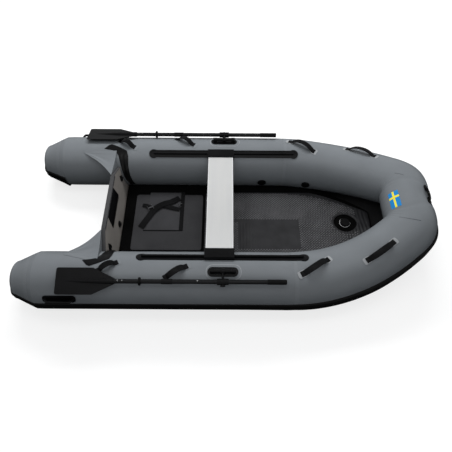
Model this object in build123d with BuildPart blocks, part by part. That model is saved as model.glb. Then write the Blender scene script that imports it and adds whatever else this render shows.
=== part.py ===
from build123d import *
import os
from math import cos, degrees, hypot, pi, radians, sin, sqrt, tan

# Inflatable tender, about three metres long, with a folding-free air floor, a bench on seat rails
# and two oars in rowlocks. Millimetres. +X is forward, +Y is port, +Z is up, and the origin lies
# on the floor under the middle of the boat's length. Stations are distances from the stern tips.

os.makedirs("parts", exist_ok=True)

# Overall sizes
hull_length = 3010
hull_beam = 1500
tube_radius = 195
bow_radius = 176
strake_proud = 8

# Line of the tubes, seen from above
side_bend_angle = 37.5
front_half_width = 98
corner_radius = 200
bow_rise = 145
rise_start_past_bend = 200

# Stern cones
cone_length = 212
cone_tip_radius = 125
cone_dome_length = 52
dome_fullness = 32

# Rubbing strake, angles from the level of the tube's middle, up is positive
strake_skin = 4
strake_top_angle = 4
strake_bottom_angle = -38
upper_rib_angle = 0
lower_rib_angle = -27
rib_half_angle = 2

# Gaps between pieces
glue_gap = 0.3
patch_gap = 0.9
fit_gap = 0.1
slide_gap = 0.8

# Floor and bottom
floor_top = 112
floor_thickness = 66
floor_side_radius = 10
floor_bow_gap = 28
bottom_skin = 5
bottom_seam_angle = 50
bottom_seam_bow_angle = 64
keel_rise_run = 596
keel_guard_width = 70
keel_guard_thickness = 4
aft_pad_start = 785
aft_pad_length = 530
aft_pad_edge = 92
pad_thickness = 7
pad_gap = 20
pad_corner = 12
pad_bevel = 2
fore_pad_edge = 48
fore_pad_bow_edge = 40
valve_well_setback = 406
valve_well_radius = 85
floor_valve_radius = 40
floor_valve_body = 6
floor_valve_cap_radius = 31
floor_valve_cap = 5
pouch_length = 250
pouch_width = 365
pouch_start = 890
pouch_edge = 72.5
pouch_thickness = 2
strap_width = 42
strap_thickness = 2
buckle_length = 66
buckle_width = 46
buckle_inset = 40
buckle_side = 55
webbing_corner = 6

# Transom
transom_foot = 709
transom_rake = 9
transom_height = 376
transom_thickness = 25
transom_flat_inset = 302
transom_shoulder_height = 300
transom_shoulder_inset = 147
transom_keel_lift = 3
transom_seam_lift = 12
transom_trim_depth = 12
transom_trim_lap = 3
motor_pad_half_width = 150
motor_pad_height = 105
motor_pad_drop = 28
motor_pad_thickness = 6
motor_pad_corner = 14
motor_pad_edge = 1.5
outer_pad_half_width = 135
outer_pad_height = 150
outer_pad_drop = 6
drain_height = 150
drain_side = -50
drain_hole_radius = 14
drain_flange_radius = 26
drain_flange_thickness = 4
drain_cap_radius = 17
drain_cap_height = 8
drain_tail = 4
eye_inset = 229
eye_height = 250
eye_radius = 34
eye_thickness = 4
eye_boss_radius = 15
eye_hole_radius = 8
eye_boss_height = 6
gusset_length = 215
gusset_thickness = 3
gusset_drop = 16
gusset_gap = 2
gusset_side_inset = 120
gusset_tail_inset = 150
gusset_tail_lift = 118
holder_thickness = 3
holder_width = 48
holder_foot_lift = 8
holder_foot_inset = 215
holder_throat_inset = 120
holder_shoulder_inset = 95
holder_peak_inset = 40
holder_tip_inset = 22
holder_arm_width = 40
holder_arm_length = 120
holder_neck = 30
holder_neck_inset = 82
holder_peak_run = 20
holder_shoulder_run = 56
holder_throat_run = 4
holder_tip_slant = 15

# Seat rails and bench
rail_start = 892
rail_past_bend = 168
rail_angle = -23.4
rail_flange_width = 60
rail_flange_thickness = 4
rail_bead_radius = 7
rail_bead_lift = 15
rail_stem_width = 5
rail_end_radius = 36
bench_aft_of_rail_middle = 21
bench_width = 191
bench_end_inset = 134
bench_top = 398
bench_thickness = 24
bench_wall = 2.5
bench_edge_radius = 5
bench_inner_radius = 3
bench_neck = 1
bench_rib_count = 5
bench_cap_overlap = 28
bench_cap_margin = 6
bench_cap_lip = 4
bench_cap_end = 30
shoe_clearance = 3
shoe_half_width = 30
shoe_height = 18

# Rowlocks
rowlock_ahead_of_bench = 25
rowlock_angle = 12
barrel_reach = 220.5
barrel_radius = 12
barrel_length = 112
barrel_pin_radius = 8
knuckle_length = 29
knuckle_gap = 0.5
knuckle_radius = 13
rowlock_pad_length = 205
rowlock_pad_width = 66
rowlock_pad_thickness = 5
stem_radius = 7
stem_ring_radius = 17
stem_ring_length = 26
cuff_length = 75
cuff_radius = 21
wing_nut_span = 34
wing_nut_height = 14
wing_nut_boss_radius = 9
wing_thickness = 6
wing_nut_sink = 2

# Oars
oar_reach = 226
oar_angle = 30.8
oar_aft_reach = 1090
oar_length = 1508
shaft_radius = 15
blade_length = 385
blade_width = 178
blade_full_length = 240
blade_thickness = 5
blade_corner_radius = 28
blade_neck_radius = 19
blade_spine_radius = 15
blade_spine_start = 60
blade_tilt = 18
drip_ring_setback = 543
drip_ring_edge = 4
drip_ring_radius = 28
drip_ring_length = 14
collar_setback = 401
collar_length = 73
collar_radius = 17.5
grip_length = 128
grip_radius = 17
grip_end_radius = 6

# Carry handles. The first is placed from the stern, the second from the rowlock and the others from
# the start of the bend, and the angles of both ends are from the tube's top, outboard positive
stern_handle_station = 668
stern_handle_span = 118
stern_handle_angles = (10, -9)
side_handle_setback = 380
side_handle_span = 145
side_handle_angles = (23, 1)
bend_handle_ahead = 122
bend_handle_span = 176
bend_handle_angles = (16, -10)
bow_handle_ahead = 578
bow_handle_span = 180
bow_handle_angles = (14, -8)
handle_width = 38
handle_thickness = 3
handle_rise = 34
handle_patch_length = 50
handle_patch_width = 46
handle_patch_thickness = 2
handle_patch_corner = 10

# Moulded grab handles, tow rings and valves
stern_grab_station = 392
stern_grab_angle = 70
stern_grab_length = 222
stern_grab_width = 58
bow_grab_side = 150
bow_grab_angle = 62
bow_grab_length = 150
grab_plate_thickness = 4
grab_bar_radius = 9
grab_bar_reach = 34
tow_ring_ahead = 668
tow_ring_angle = 146
tow_ring_swing = 36
tow_patch_radius = 42
tow_patch_thickness = 3
tow_wire_radius = 3.5
tow_ring_radius = 19
tow_saddle_width = 18
tow_saddle_height = 11
tow_saddle_corner = 4
tow_ring_lift = 4.5
valve_aft_of_bend = 107
valve_ahead_of_bend = 283
valve_angle = -97
valve_radius = 33
valve_lift = 7
valve_cap_radius = 24
valve_cap_height = 4

# Places worked out from the sizes above
tube_offset = hull_beam / 2 - strake_proud - tube_radius
bend = radians(side_bend_angle)
side_bend_radius = (tube_offset - front_half_width - corner_radius * cos(bend)) / (1 - cos(bend))
bow_axis = hull_length - strake_proud - bow_radius
bend_start = bow_axis - side_bend_radius * sin(bend) - corner_radius * (1 - sin(bend))
bend_run = side_bend_radius * bend
corner_run = corner_radius * (pi / 2 - bend)
bow_run = bend_run + corner_run + front_half_width
rise_start = bend_start + rise_start_past_bend
rake = radians(transom_rake)
floor_bottom = floor_top - floor_thickness
keel_rise_start = bow_axis - keel_rise_run
valve_well_station = bow_axis - valve_well_setback
transom_flat_half_width = tube_offset - transom_flat_inset
transom_shoulder_half_width = tube_offset - transom_shoulder_inset
eye_side = tube_offset - eye_inset
rail_end = bend_start + rail_past_bend
bench_station = (rail_start + rail_end) / 2 - bench_aft_of_rail_middle
bench_length = 2 * (tube_offset - bench_end_inset)
rowlock_station = bench_station + rowlock_ahead_of_bench
oar_start = rowlock_station - oar_aft_reach
drip_ring_station = rowlock_station - drip_ring_setback
collar_start = rowlock_station - collar_setback
tow_ring_station = bend_start + tow_ring_ahead
valve_stations = (bend_start - valve_aft_of_bend, bend_start + valve_ahead_of_bend)


def handle_feet(start, span, angles):
    """Station and angle of both ends of a carry handle."""
    return (start, angles[0]), (start + span, angles[1])


handle_ends = (
    handle_feet(stern_handle_station, stern_handle_span, stern_handle_angles),
    handle_feet(rowlock_station - side_handle_setback, side_handle_span, side_handle_angles),
    handle_feet(bend_start + bend_handle_ahead, bend_handle_span, bend_handle_angles),
    handle_feet(bend_start + bow_handle_ahead, bow_handle_span, bow_handle_angles),
)


def at(distance):
    """X of a station, given as a distance from the stern tips."""
    return distance - hull_length / 2


def tube_line(run):
    """Middle, outward and forward directions and radius of the port tube.

    run is measured along the tube from the stern tip to the middle of the bow.
    """
    past = max(run - bend_start, 0)
    in_bend = min(past, bend_run)
    in_corner = min(max(past - bend_run, 0), corner_run)
    in_front = max(past - bend_run - corner_run, 0)
    turn = in_bend / side_bend_radius
    heading = turn + in_corner / corner_radius
    x = min(run, bend_start) + side_bend_radius * sin(turn)
    x += corner_radius * (sin(heading) - sin(turn))
    y = tube_offset - side_bend_radius * (1 - cos(turn))
    y -= corner_radius * (cos(turn) - cos(heading)) + in_front
    lift = max(x - rise_start, 0) / (bow_axis - rise_start)
    z = tube_radius + bow_rise * lift ** 2
    slope = 2 * bow_rise * lift / (bow_axis - rise_start) * cos(heading)
    forward = Vector(cos(heading), -sin(heading), slope).normalized()
    outward = Vector(sin(heading), cos(heading), 0)
    narrowing = max(past - rise_start_past_bend, 0) / (bend_run + corner_run - rise_start_past_bend)
    radius = tube_radius + (bow_radius - tube_radius) * min(narrowing, 1)
    return Vector(at(x), y, z), outward, forward, radius


def skin_plane(run, angle, lift=0.0):
    """Plane lying on the port tube's skin, its X along the tube and its Z away from it.

    angle is measured from the tube's top, and outboard is positive.
    """
    middle, outward, forward, radius = tube_line(run)
    away = outward * sin(radians(angle)) + forward.cross(outward) * cos(radians(angle))
    flare = tube_line(run + 1)[3] - radius
    return Plane(origin=middle + away * (radius + lift), x_dir=forward + away * flare,
                 z_dir=away - forward * flare)


def mirrored_vector(v):
    """The same point or direction on the starboard side."""
    return Vector(v.X, -v.Y, v.Z)


def bow_sections():
    """Planes across the bow tube from the port bend to the end of its corner, with radii."""
    bend_steps, corner_steps = 12, 6
    runs = [bend_start + bend_run * i / bend_steps for i in range(bend_steps)]
    runs += [bend_start + bend_run + corner_run * i / corner_steps for i in range(corner_steps + 1)]
    sections = []
    for run in runs:
        middle, outward, forward, radius = tube_line(run)
        sections.append((Plane(origin=middle, x_dir=outward, z_dir=forward), radius))
    return sections


def save(piece, name):
    """Label a piece and write its file."""
    piece.part.label = name
    export_step(piece.part, f"parts/{name}.step")


def save_pair(port, name):
    """Write a port piece and its starboard mirror image."""
    with BuildPart() as starboard:
        mirror(port.part, about=Plane.XZ)
    save(port, f"{name}_port")
    save(starboard, f"{name}_starboard")


def side_tube_plane(distance):
    """Plane across the port side tube at a station, facing forward."""
    return Plane(origin=(at(distance), tube_offset, tube_radius), x_dir=(0, 1, 0), z_dir=(1, 0, 0))


def tube_space(lift, first=0.0, last=None):
    """Cylinder round a stretch of the port side tube, its radius larger by lift."""
    last = bend_start if last is None else last
    with BuildPart() as space:
        with BuildSketch(side_tube_plane(first)):
            Circle(tube_radius + lift)
        extrude(amount=last - first)
    return space.part


def bend_space(lift):
    """Ring round the start of the bend, before the tube rises, its radius larger by lift."""
    turn = degrees(rise_start_past_bend / side_bend_radius)
    axis = Axis((at(bend_start), tube_offset - side_bend_radius, tube_radius), (0, 0, -1))
    with BuildPart() as space:
        with BuildSketch(side_tube_plane(bend_start)):
            Circle(tube_radius + lift)
        revolve(axis=axis, revolution_arc=turn)
    return space.part


def polar(radius, angle):
    """Point of a section at a radius and an angle from the level, up is positive."""
    return (radius * cos(radians(angle)), radius * sin(radians(angle)))


# Buoyancy tubes

with BuildPart() as side_tube:
    with BuildSketch(side_tube_plane(cone_length)):
        Circle(tube_radius)
    extrude(amount=bend_start - cone_length)
save_pair(side_tube, "tube")

with BuildPart() as bow_tube:
    for plane, radius in bow_sections():
        with BuildSketch(plane):
            Circle(radius)
    loft()
    with BuildSketch(bow_sections()[-1][0]):
        Circle(bow_radius)
    extrude(amount=front_half_width)
    mirror(about=Plane.XZ)
save(bow_tube, "tube_bow")

# Stern cones, turned about the tubes' axis


def cone_outline(lift):
    """Half outline of a cone from its seam to its tip, moved outwards by lift."""
    seam = (at(cone_length), tube_offset + tube_radius + lift)
    shoulder = (at(cone_dome_length), tube_offset + cone_tip_radius + lift)
    lean = Vector(shoulder[0] - seam[0], shoulder[1] - seam[1]).normalized() * dome_fullness
    tip = (at(-lift), tube_offset)
    Line(seam, shoulder)
    Bezier(shoulder, (shoulder[0] + lean.X, shoulder[1] + lean.Y),
           (tip[0], tube_offset + cone_tip_radius * 0.6), tip)
    Line(tip, (at(cone_length), tube_offset))
    Line((at(cone_length), tube_offset), seam)


def cone_solid(lift):
    """Solid of the port stern cone, larger by lift."""
    with BuildPart() as cone:
        with BuildSketch(Plane.XY.offset(tube_radius)):
            with BuildLine():
                cone_outline(lift)
            make_face()
        revolve(axis=Axis((0, tube_offset, tube_radius), (1, 0, 0)))
    return cone.part


with BuildPart() as stern_cone:
    add(cone_solid(0))
save_pair(stern_cone, "cone")

# Rubbing strake with two ribs


def strake_section(radius):
    """Section of the strake on a tube of this radius, X outboard and Y up."""
    inner, skin, crest = radius + glue_gap, radius + strake_skin, radius + strake_proud
    with BuildLine() as outline:
        Line(polar(inner, strake_top_angle), polar(skin, strake_top_angle))
        start = strake_top_angle
        for rib in (upper_rib_angle, lower_rib_angle):
            above, below = rib + rib_half_angle, rib - rib_half_angle
            ThreePointArc(polar(skin, start), polar(skin, (start + above) / 2), polar(skin, above))
            ThreePointArc(polar(skin, above), polar(crest, rib), polar(skin, below))
            start = below
        low = strake_bottom_angle
        ThreePointArc(polar(skin, start), polar(skin, (start + low) / 2), polar(skin, low))
        Line(polar(skin, low), polar(inner, low))
        ThreePointArc(polar(inner, low), polar(inner, (low + strake_top_angle) / 2),
                      polar(inner, strake_top_angle))
    make_face(outline.edges())


with BuildPart() as side_strake:
    with BuildSketch(side_tube_plane(cone_length)):
        strake_section(tube_radius)
    extrude(amount=bend_start - cone_length)
save_pair(side_strake, "strake")

with BuildPart() as bow_strake:
    for plane, radius in bow_sections():
        with BuildSketch(plane):
            strake_section(radius)
    loft()
    with BuildSketch(bow_sections()[-1][0]):
        strake_section(bow_radius)
    extrude(amount=front_half_width)
    mirror(about=Plane.XZ)
save(bow_strake, "strake_bow")

# The strake goes on round the cones and ends at their seams on the inner side
strake_level_top = tube_radius * (1 + sin(radians(strake_top_angle)))
strake_level_bottom = tube_radius * (1 + sin(radians(strake_bottom_angle)))
with BuildPart() as cone_strake:
    add(cone_solid(strake_skin))
    add(cone_solid(glue_gap), mode=Mode.SUBTRACT)
    with BuildSketch(Plane.XY.offset(strake_level_bottom)):
        with Locations((at(cone_length / 2), tube_offset)):
            Rectangle(cone_length, 3 * tube_radius)
    extrude(amount=strake_level_top - strake_level_bottom, mode=Mode.INTERSECT)
save_pair(cone_strake, "strake_cone")

# Hull bottom: a thin V from the tubes' lower seams down to the keel


def bottom_seam(run):
    """Point where the bottom skin meets the port tube."""
    middle, outward, forward, radius = tube_line(run)
    past = max(run - bend_start, 0) / bow_run
    down = radians(bottom_seam_angle + (bottom_seam_bow_angle - bottom_seam_angle) * past)
    reach = radius + bottom_skin * sin(down) + glue_gap
    return middle - outward * (reach * cos(down)) - forward.cross(outward) * (reach * sin(down))


seam_runs = [transom_foot, bend_start] + [bend_start + bend_run * i / 6 for i in range(1, 7)]
seam_runs.append(bend_start + bend_run + corner_run * 0.45)
seam_points = [bottom_seam(run) for run in seam_runs]
stem_head = seam_points[-1]


def keel_height(x):
    """Underside of the keel guard, level and then curving up to the bow seam."""
    rise = max(x - at(keel_rise_start), 0) / (stem_head.X - at(keel_rise_start))
    return (stem_head.Z - keel_guard_thickness - bottom_skin) * rise ** 3


with BuildPart() as hull_bottom:
    for seam in seam_points:
        keel = keel_height(seam.X) + keel_guard_thickness
        with BuildSketch(Plane(origin=(seam.X, 0, 0), x_dir=(0, 1, 0), z_dir=(1, 0, 0))):
            with BuildLine():
                Polyline((-seam.Y, seam.Z), (0, keel), (seam.Y, seam.Z),
                         (seam.Y, seam.Z + bottom_skin), (0, keel + bottom_skin),
                         (-seam.Y, seam.Z + bottom_skin), close=True)
            make_face()
    loft(ruled=True)
save(hull_bottom, "hull_bottom")

with BuildPart() as keel_guard:
    for seam in seam_points:
        keel = keel_height(seam.X)
        lean = (seam.Z - keel - keel_guard_thickness) / seam.Y * keel_guard_width / 2
        half = keel_guard_width / 2
        with BuildSketch(Plane(origin=(seam.X, 0, 0), x_dir=(0, 1, 0), z_dir=(1, 0, 0))):
            with BuildLine():
                Polyline((-half, keel + lean), (0, keel), (half, keel + lean),
                         (half, keel + lean + keel_guard_thickness - glue_gap),
                         (0, keel + keel_guard_thickness - glue_gap),
                         (-half, keel + lean + keel_guard_thickness - glue_gap), close=True)
            make_face()
    loft(ruled=True)
save(keel_guard, "keel_guard")

# Room under the floor, up to the inside of the bottom skin
with BuildPart() as below_skin:
    for seam in seam_points:
        keel = keel_height(seam.X) + keel_guard_thickness + bottom_skin + glue_gap
        side = seam.Z + bottom_skin + glue_gap
        with BuildSketch(Plane(origin=(seam.X, 0, 0), x_dir=(0, 1, 0), z_dir=(1, 0, 0))):
            with BuildLine():
                Polyline((-hull_beam, -tube_radius), (-hull_beam, side), (-seam.Y, side), (0, keel),
                         (seam.Y, side), (hull_beam, side), (hull_beam, -tube_radius), close=True)
            make_face()
    loft(ruled=True)

# Air floor and its foam pads


def floor_side_inset(z):
    """Level distance from the tube's middle line to its inner face at a height."""
    return sqrt(tube_radius ** 2 - (tube_radius - z) ** 2) + glue_gap


def cockpit_face(inset, aft, bow_gap):
    """Outline inside the tubes, parallel to their middle line, from aft to the bow."""
    half = tube_offset - inset
    radius = side_bend_radius - inset
    corner = max(corner_radius - inset, 1)
    front = bow_axis - inset - bow_gap
    with BuildLine() as outline:
        side = Line((at(aft), half), (at(bend_start - bow_gap), half))
        curve = JernArc(start=side @ 1, tangent=side % 1, radius=radius, arc_size=-side_bend_angle)
        turn = JernArc(start=curve @ 1, tangent=curve % 1, radius=corner,
                       arc_size=side_bend_angle - 90)
        Line(turn @ 1, (at(front), 0))
        Line((at(front), 0), (at(aft), 0))
        Line((at(aft), 0), side @ 0)
    make_face(outline.edges())


floor_inset = floor_side_inset(floor_top)
floor_aft = transom_foot - floor_bottom * tan(rake) + glue_gap
with BuildPart() as air_floor:
    with BuildSketch(Plane.XY.offset(floor_bottom)):
        cockpit_face(floor_inset, floor_aft, floor_bow_gap)
        mirror(about=Plane.XZ)
    extrude(amount=floor_thickness)
    fillet(air_floor.faces().sort_by(Axis.Z)[-1].edges(), floor_side_radius)
    add(below_skin.part, mode=Mode.SUBTRACT)
save(air_floor, "air_floor")

with BuildPart() as aft_pad:
    with BuildSketch(Plane.XY.offset(floor_top)):
        with Locations((at(aft_pad_start + aft_pad_length / 2), 0)):
            RectangleRounded(aft_pad_length, 2 * (tube_offset - tube_radius - aft_pad_edge),
                             pad_corner)
    extrude(amount=pad_thickness)
    chamfer(aft_pad.faces().sort_by(Axis.Z)[-1].edges(), pad_bevel)
save(aft_pad, "floor_pad_aft")

fore_pad_start = aft_pad_start + aft_pad_length + pad_gap
with BuildPart() as fore_pad:
    with BuildSketch(Plane.XY.offset(floor_top)):
        cockpit_face(floor_inset, floor_aft, floor_bow_gap + fore_pad_bow_edge)
        mirror(about=Plane.XZ)
        with BuildSketch(mode=Mode.INTERSECT):
            with Locations((at(fore_pad_start), 0)):
                Rectangle(hull_length, 2 * (tube_offset - floor_inset - fore_pad_edge),
                          align=(Align.MIN, Align.CENTER))
        with Locations((at(valve_well_station), 0)):
            Circle(valve_well_radius, mode=Mode.SUBTRACT)
    extrude(amount=pad_thickness)
    chamfer(fore_pad.faces().sort_by(Axis.Z)[-1].edges(), pad_bevel)
save(fore_pad, "floor_pad_fore")

with BuildPart() as floor_valve:
    with BuildSketch(Plane.XY.offset(floor_top)):
        with Locations((at(valve_well_station), 0)):
            Circle(floor_valve_radius)
    extrude(amount=floor_valve_body)
    with BuildSketch(Plane.XY.offset(floor_top + floor_valve_body)):
        with Locations((at(valve_well_station), 0)):
            Circle(floor_valve_cap_radius)
    extrude(amount=floor_valve_cap)
    fillet(floor_valve.edges().filter_by(GeomType.CIRCLE).group_by(Axis.Z)[-1], pad_bevel)
save(floor_valve, "floor_valve")

pad_top = floor_top + pad_thickness
pouch_side = tube_offset - tube_radius - pouch_edge - pouch_width / 2
with BuildPart() as floor_pouch:
    with BuildSketch(Plane.XY.offset(pad_top)):
        with Locations((at(pouch_start + pouch_length / 2), pouch_side)):
            RectangleRounded(pouch_length, pouch_width, 8)
    extrude(amount=pouch_thickness)
save(floor_pouch, "floor_pouch")

strap_run = hypot(pouch_length, pouch_length)
with BuildPart() as tank_strap:
    with BuildSketch(Plane.XY.offset(pad_top + pouch_thickness)):
        with Locations(Location((at(pouch_start + pouch_length / 2), pouch_side, 0), (0, 0, 45))):
            RectangleRounded(strap_run, strap_width, webbing_corner)
        with Locations((at(pouch_start + buckle_inset), pouch_side + buckle_side)):
            RectangleRounded(buckle_length, buckle_width, webbing_corner)
    extrude(amount=strap_thickness)
save(tank_strap, "tank_strap")

# Transom


def transom_plane(forward=0.0):
    """Plane of the transom's front face, X to port and Y up the board, moved forward."""
    return Plane(origin=(at(transom_foot) + forward * cos(rake), 0, forward * sin(rake)),
                 x_dir=(0, 1, 0), z_dir=(cos(rake), 0, sin(rake)))


def up_board(z):
    """Distance up the board to a height."""
    return z / cos(rake)


board_top = up_board(transom_height)
keel_line = keel_guard_thickness + bottom_skin + transom_keel_lift
with BuildPart() as transom:
    with BuildSketch(transom_plane()):
        with BuildLine():
            Polyline((0, up_board(keel_line)), (seam_points[0].Y, up_board(seam_points[0].Z + transom_seam_lift)),
                     (transom_shoulder_half_width, up_board(tube_radius)),
                     (transom_shoulder_half_width, up_board(transom_shoulder_height)),
                     (transom_flat_half_width, board_top), (0, board_top), close=True)
        make_face()
        mirror(about=Plane.YZ)
    extrude(amount=-transom_thickness)
    add(tube_space(glue_gap), mode=Mode.SUBTRACT)
    add(mirror(tube_space(glue_gap), about=Plane.XZ, mode=Mode.PRIVATE), mode=Mode.SUBTRACT)
    with Locations(transom_plane()):
        with Locations((drain_side, up_board(drain_height))):
            Hole(drain_hole_radius)
save(transom, "transom_board")

with BuildPart() as transom_trim:
    with BuildSketch(transom_plane(transom_trim_lap)):
        with Locations((0, board_top - transom_trim_depth / 2 + transom_trim_lap / 2)):
            Rectangle(2 * transom_flat_half_width, transom_trim_depth + transom_trim_lap)
    extrude(amount=-transom_thickness - 2 * transom_trim_lap)
    with BuildSketch(transom_plane(glue_gap)):
        with Locations((0, board_top - transom_trim_depth)):
            Rectangle(2 * transom_flat_half_width, 2 * transom_trim_depth + glue_gap)
    extrude(amount=-transom_thickness - 2 * glue_gap, mode=Mode.SUBTRACT)
save(transom_trim, "transom_trim")

with BuildPart() as inner_motor_pad:
    with BuildSketch(transom_plane()):
        with Locations((0, board_top - motor_pad_drop - motor_pad_height / 2)):
            RectangleRounded(2 * motor_pad_half_width, motor_pad_height, motor_pad_corner)
    extrude(amount=motor_pad_thickness)
    chamfer(inner_motor_pad.faces().sort_by(Axis.X)[-1].edges(), motor_pad_edge)
save(inner_motor_pad, "motor_pad_inner")

with BuildPart() as outer_motor_pad:
    with BuildSketch(transom_plane(-transom_thickness)):
        with Locations((0, board_top - transom_trim_depth - outer_pad_drop - outer_pad_height / 2)):
            RectangleRounded(2 * outer_pad_half_width, outer_pad_height, motor_pad_corner)
    extrude(amount=-motor_pad_thickness)
    chamfer(outer_motor_pad.faces().sort_by(Axis.X)[0].edges(), motor_pad_edge)
save(outer_motor_pad, "motor_pad_outer")

with BuildPart() as drain_bung:
    with BuildSketch(transom_plane()):
        with Locations((drain_side, up_board(drain_height))):
            Circle(drain_flange_radius)
    extrude(amount=drain_flange_thickness)
    with BuildSketch(transom_plane(drain_flange_thickness)):
        with Locations((drain_side, up_board(drain_height))):
            Circle(drain_cap_radius)
    extrude(amount=drain_cap_height)
    with BuildSketch(transom_plane()):
        with Locations((drain_side, up_board(drain_height))):
            Circle(drain_hole_radius - glue_gap)
    extrude(amount=-transom_thickness - drain_tail)
save(drain_bung, "drain_bung")

with BuildPart() as transom_eyes:
    with BuildSketch(transom_plane()):
        with Locations((eye_side, up_board(eye_height)), (-eye_side, up_board(eye_height))):
            Circle(eye_radius)
    extrude(amount=eye_thickness)
    with BuildSketch(transom_plane(eye_thickness)):
        with Locations((eye_side, up_board(eye_height)), (-eye_side, up_board(eye_height))):
            Circle(eye_boss_radius)
            Circle(eye_hole_radius, mode=Mode.SUBTRACT)
    extrude(amount=eye_boss_height)
save(transom_eyes, "transom_eyes")

# Fabric gussets from the top of the transom aft to the tubes
board_aft = at(transom_foot) - transom_height * tan(rake) - transom_thickness / cos(rake)
gusset_level = transom_height - gusset_drop
gusset_head = Vector(board_aft - gusset_gap, transom_flat_half_width, gusset_level)
gusset_side = Vector(board_aft - gusset_gap, tube_offset - gusset_side_inset, gusset_level)
gusset_tail = Vector(board_aft - gusset_length, tube_offset - gusset_tail_inset,
                     tube_radius + gusset_tail_lift)
gusset_normal = (gusset_side - gusset_head).cross(gusset_tail - gusset_head).normalized()
with BuildPart() as gusset:
    plane = Plane(origin=gusset_head, x_dir=gusset_side - gusset_head, z_dir=gusset_normal)
    with BuildSketch(plane):
        with BuildLine():
            head, side, tail = (plane.to_local_coords(p) for p in
                                (gusset_head, gusset_side, gusset_tail))
            Polyline((head.X, head.Y), (side.X, side.Y), (tail.X, tail.Y), close=True)
        make_face()
    extrude(amount=gusset_thickness)
    add(tube_space(glue_gap), mode=Mode.SUBTRACT)
save_pair(gusset, "transom_gusset")

# Holder flaps: glued on the tube beside the transom, with an arm running aft along its top
top_front = transom_foot - transom_height * tan(rake)
holder_aft = top_front - 2 * holder_arm_length
with BuildPart() as holder:
    add(tube_space(glue_gap + holder_thickness, holder_aft, transom_foot + holder_width))
    add(tube_space(glue_gap, holder_aft, transom_foot + holder_width), mode=Mode.SUBTRACT)
    with BuildSketch(Plane.XY.offset(floor_top + holder_foot_lift)):
        with BuildLine():
            Polyline((at(transom_foot + gusset_gap), tube_offset - holder_foot_inset),
                     (at(transom_foot + holder_width), tube_offset - holder_foot_inset),
                     (at(top_front + holder_shoulder_run), tube_offset - holder_shoulder_inset),
                     (at(top_front + holder_peak_run), tube_offset - holder_peak_inset),
                     (at(top_front - holder_arm_length + holder_tip_slant),
                      tube_offset - holder_tip_inset),
                     (at(top_front - holder_arm_length),
                      tube_offset - holder_tip_inset - holder_arm_width),
                     (at(top_front - holder_neck), tube_offset - holder_neck_inset),
                     (at(top_front + holder_throat_run), tube_offset - holder_throat_inset),
                     close=True)
        make_face()
    extrude(amount=2 * tube_radius, mode=Mode.INTERSECT)
save_pair(holder, "transom_holder")

# Seat rails: a glued flange with a raised bead, rounded patches at both ends


def rail_frame(distance):
    """Plane across a seat rail, X outboard along the skin and Y away from the tube."""
    a = radians(rail_angle)
    origin = (at(distance), tube_offset + tube_radius * sin(a), tube_radius + tube_radius * cos(a))
    return Plane(origin=origin, x_dir=(0, cos(a), -sin(a)), z_dir=(1, 0, 0))


with BuildPart() as rail:
    middle_run = (rail_start + rail_end) / 2
    length = rail_end - rail_start
    top_of_skin = skin_plane(middle_run, rail_angle)
    add(tube_space(glue_gap + rail_flange_thickness, rail_start))
    add(bend_space(glue_gap + rail_flange_thickness))
    add(tube_space(glue_gap, rail_start), mode=Mode.SUBTRACT)
    add(bend_space(glue_gap), mode=Mode.SUBTRACT)
    with BuildSketch(Plane(origin=(at(middle_run), top_of_skin.origin.Y, top_of_skin.origin.Z),
                           x_dir=(1, 0, 0), z_dir=top_of_skin.z_dir)):
        Rectangle(length - 2 * rail_end_radius, rail_flange_width)
        with Locations((length / 2 - rail_end_radius, 0), (rail_end_radius - length / 2, 0)):
            Circle(rail_end_radius)
    extrude(amount=tube_radius / 2, both=True, mode=Mode.INTERSECT)
    with BuildSketch(rail_frame(rail_start + rail_end_radius)):
        with Locations((0, rail_bead_lift)):
            Circle(rail_bead_radius)
        with Locations((0, rail_bead_lift / 2 + glue_gap)):
            Rectangle(rail_stem_width, rail_bead_lift - 2 * glue_gap)
    extrude(amount=length - 2 * rail_end_radius)
    add(bend_space(glue_gap), mode=Mode.SUBTRACT)
save_pair(rail, "seat_rail")

# Bench: a ribbed aluminium box plank in two end caps, whose shoes slide on the rails
cap_inner = bench_length / 2 - bench_cap_overlap


def plank_stretch(start, end, neck):
    """A stretch of the hollow plank between two sides of the boat, its outside smaller by neck."""
    across = Plane(origin=(at(bench_station), start, bench_top - bench_thickness / 2),
                   x_dir=(1, 0, 0), z_dir=(0, 1, 0))
    with BuildSketch(across) as section:
        RectangleRounded(bench_width - 2 * neck, bench_thickness - 2 * neck,
                         bench_edge_radius - neck)
        RectangleRounded(bench_width - 2 * bench_wall, bench_thickness - 2 * bench_wall,
                         bench_inner_radius, mode=Mode.SUBTRACT)
        with GridLocations(bench_width / (bench_rib_count + 1), 0, bench_rib_count, 1):
            Rectangle(bench_wall, bench_thickness - bench_wall)
    extrude(section.sketch, amount=end - start)


with BuildPart() as plank:
    plank_stretch(fit_gap - cap_inner, cap_inner - fit_gap, 0)
    plank_stretch(-bench_length / 2, fit_gap - cap_inner, bench_neck)
    plank_stretch(cap_inner - fit_gap, bench_length / 2, bench_neck)
save(plank, "bench_plank")

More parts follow.
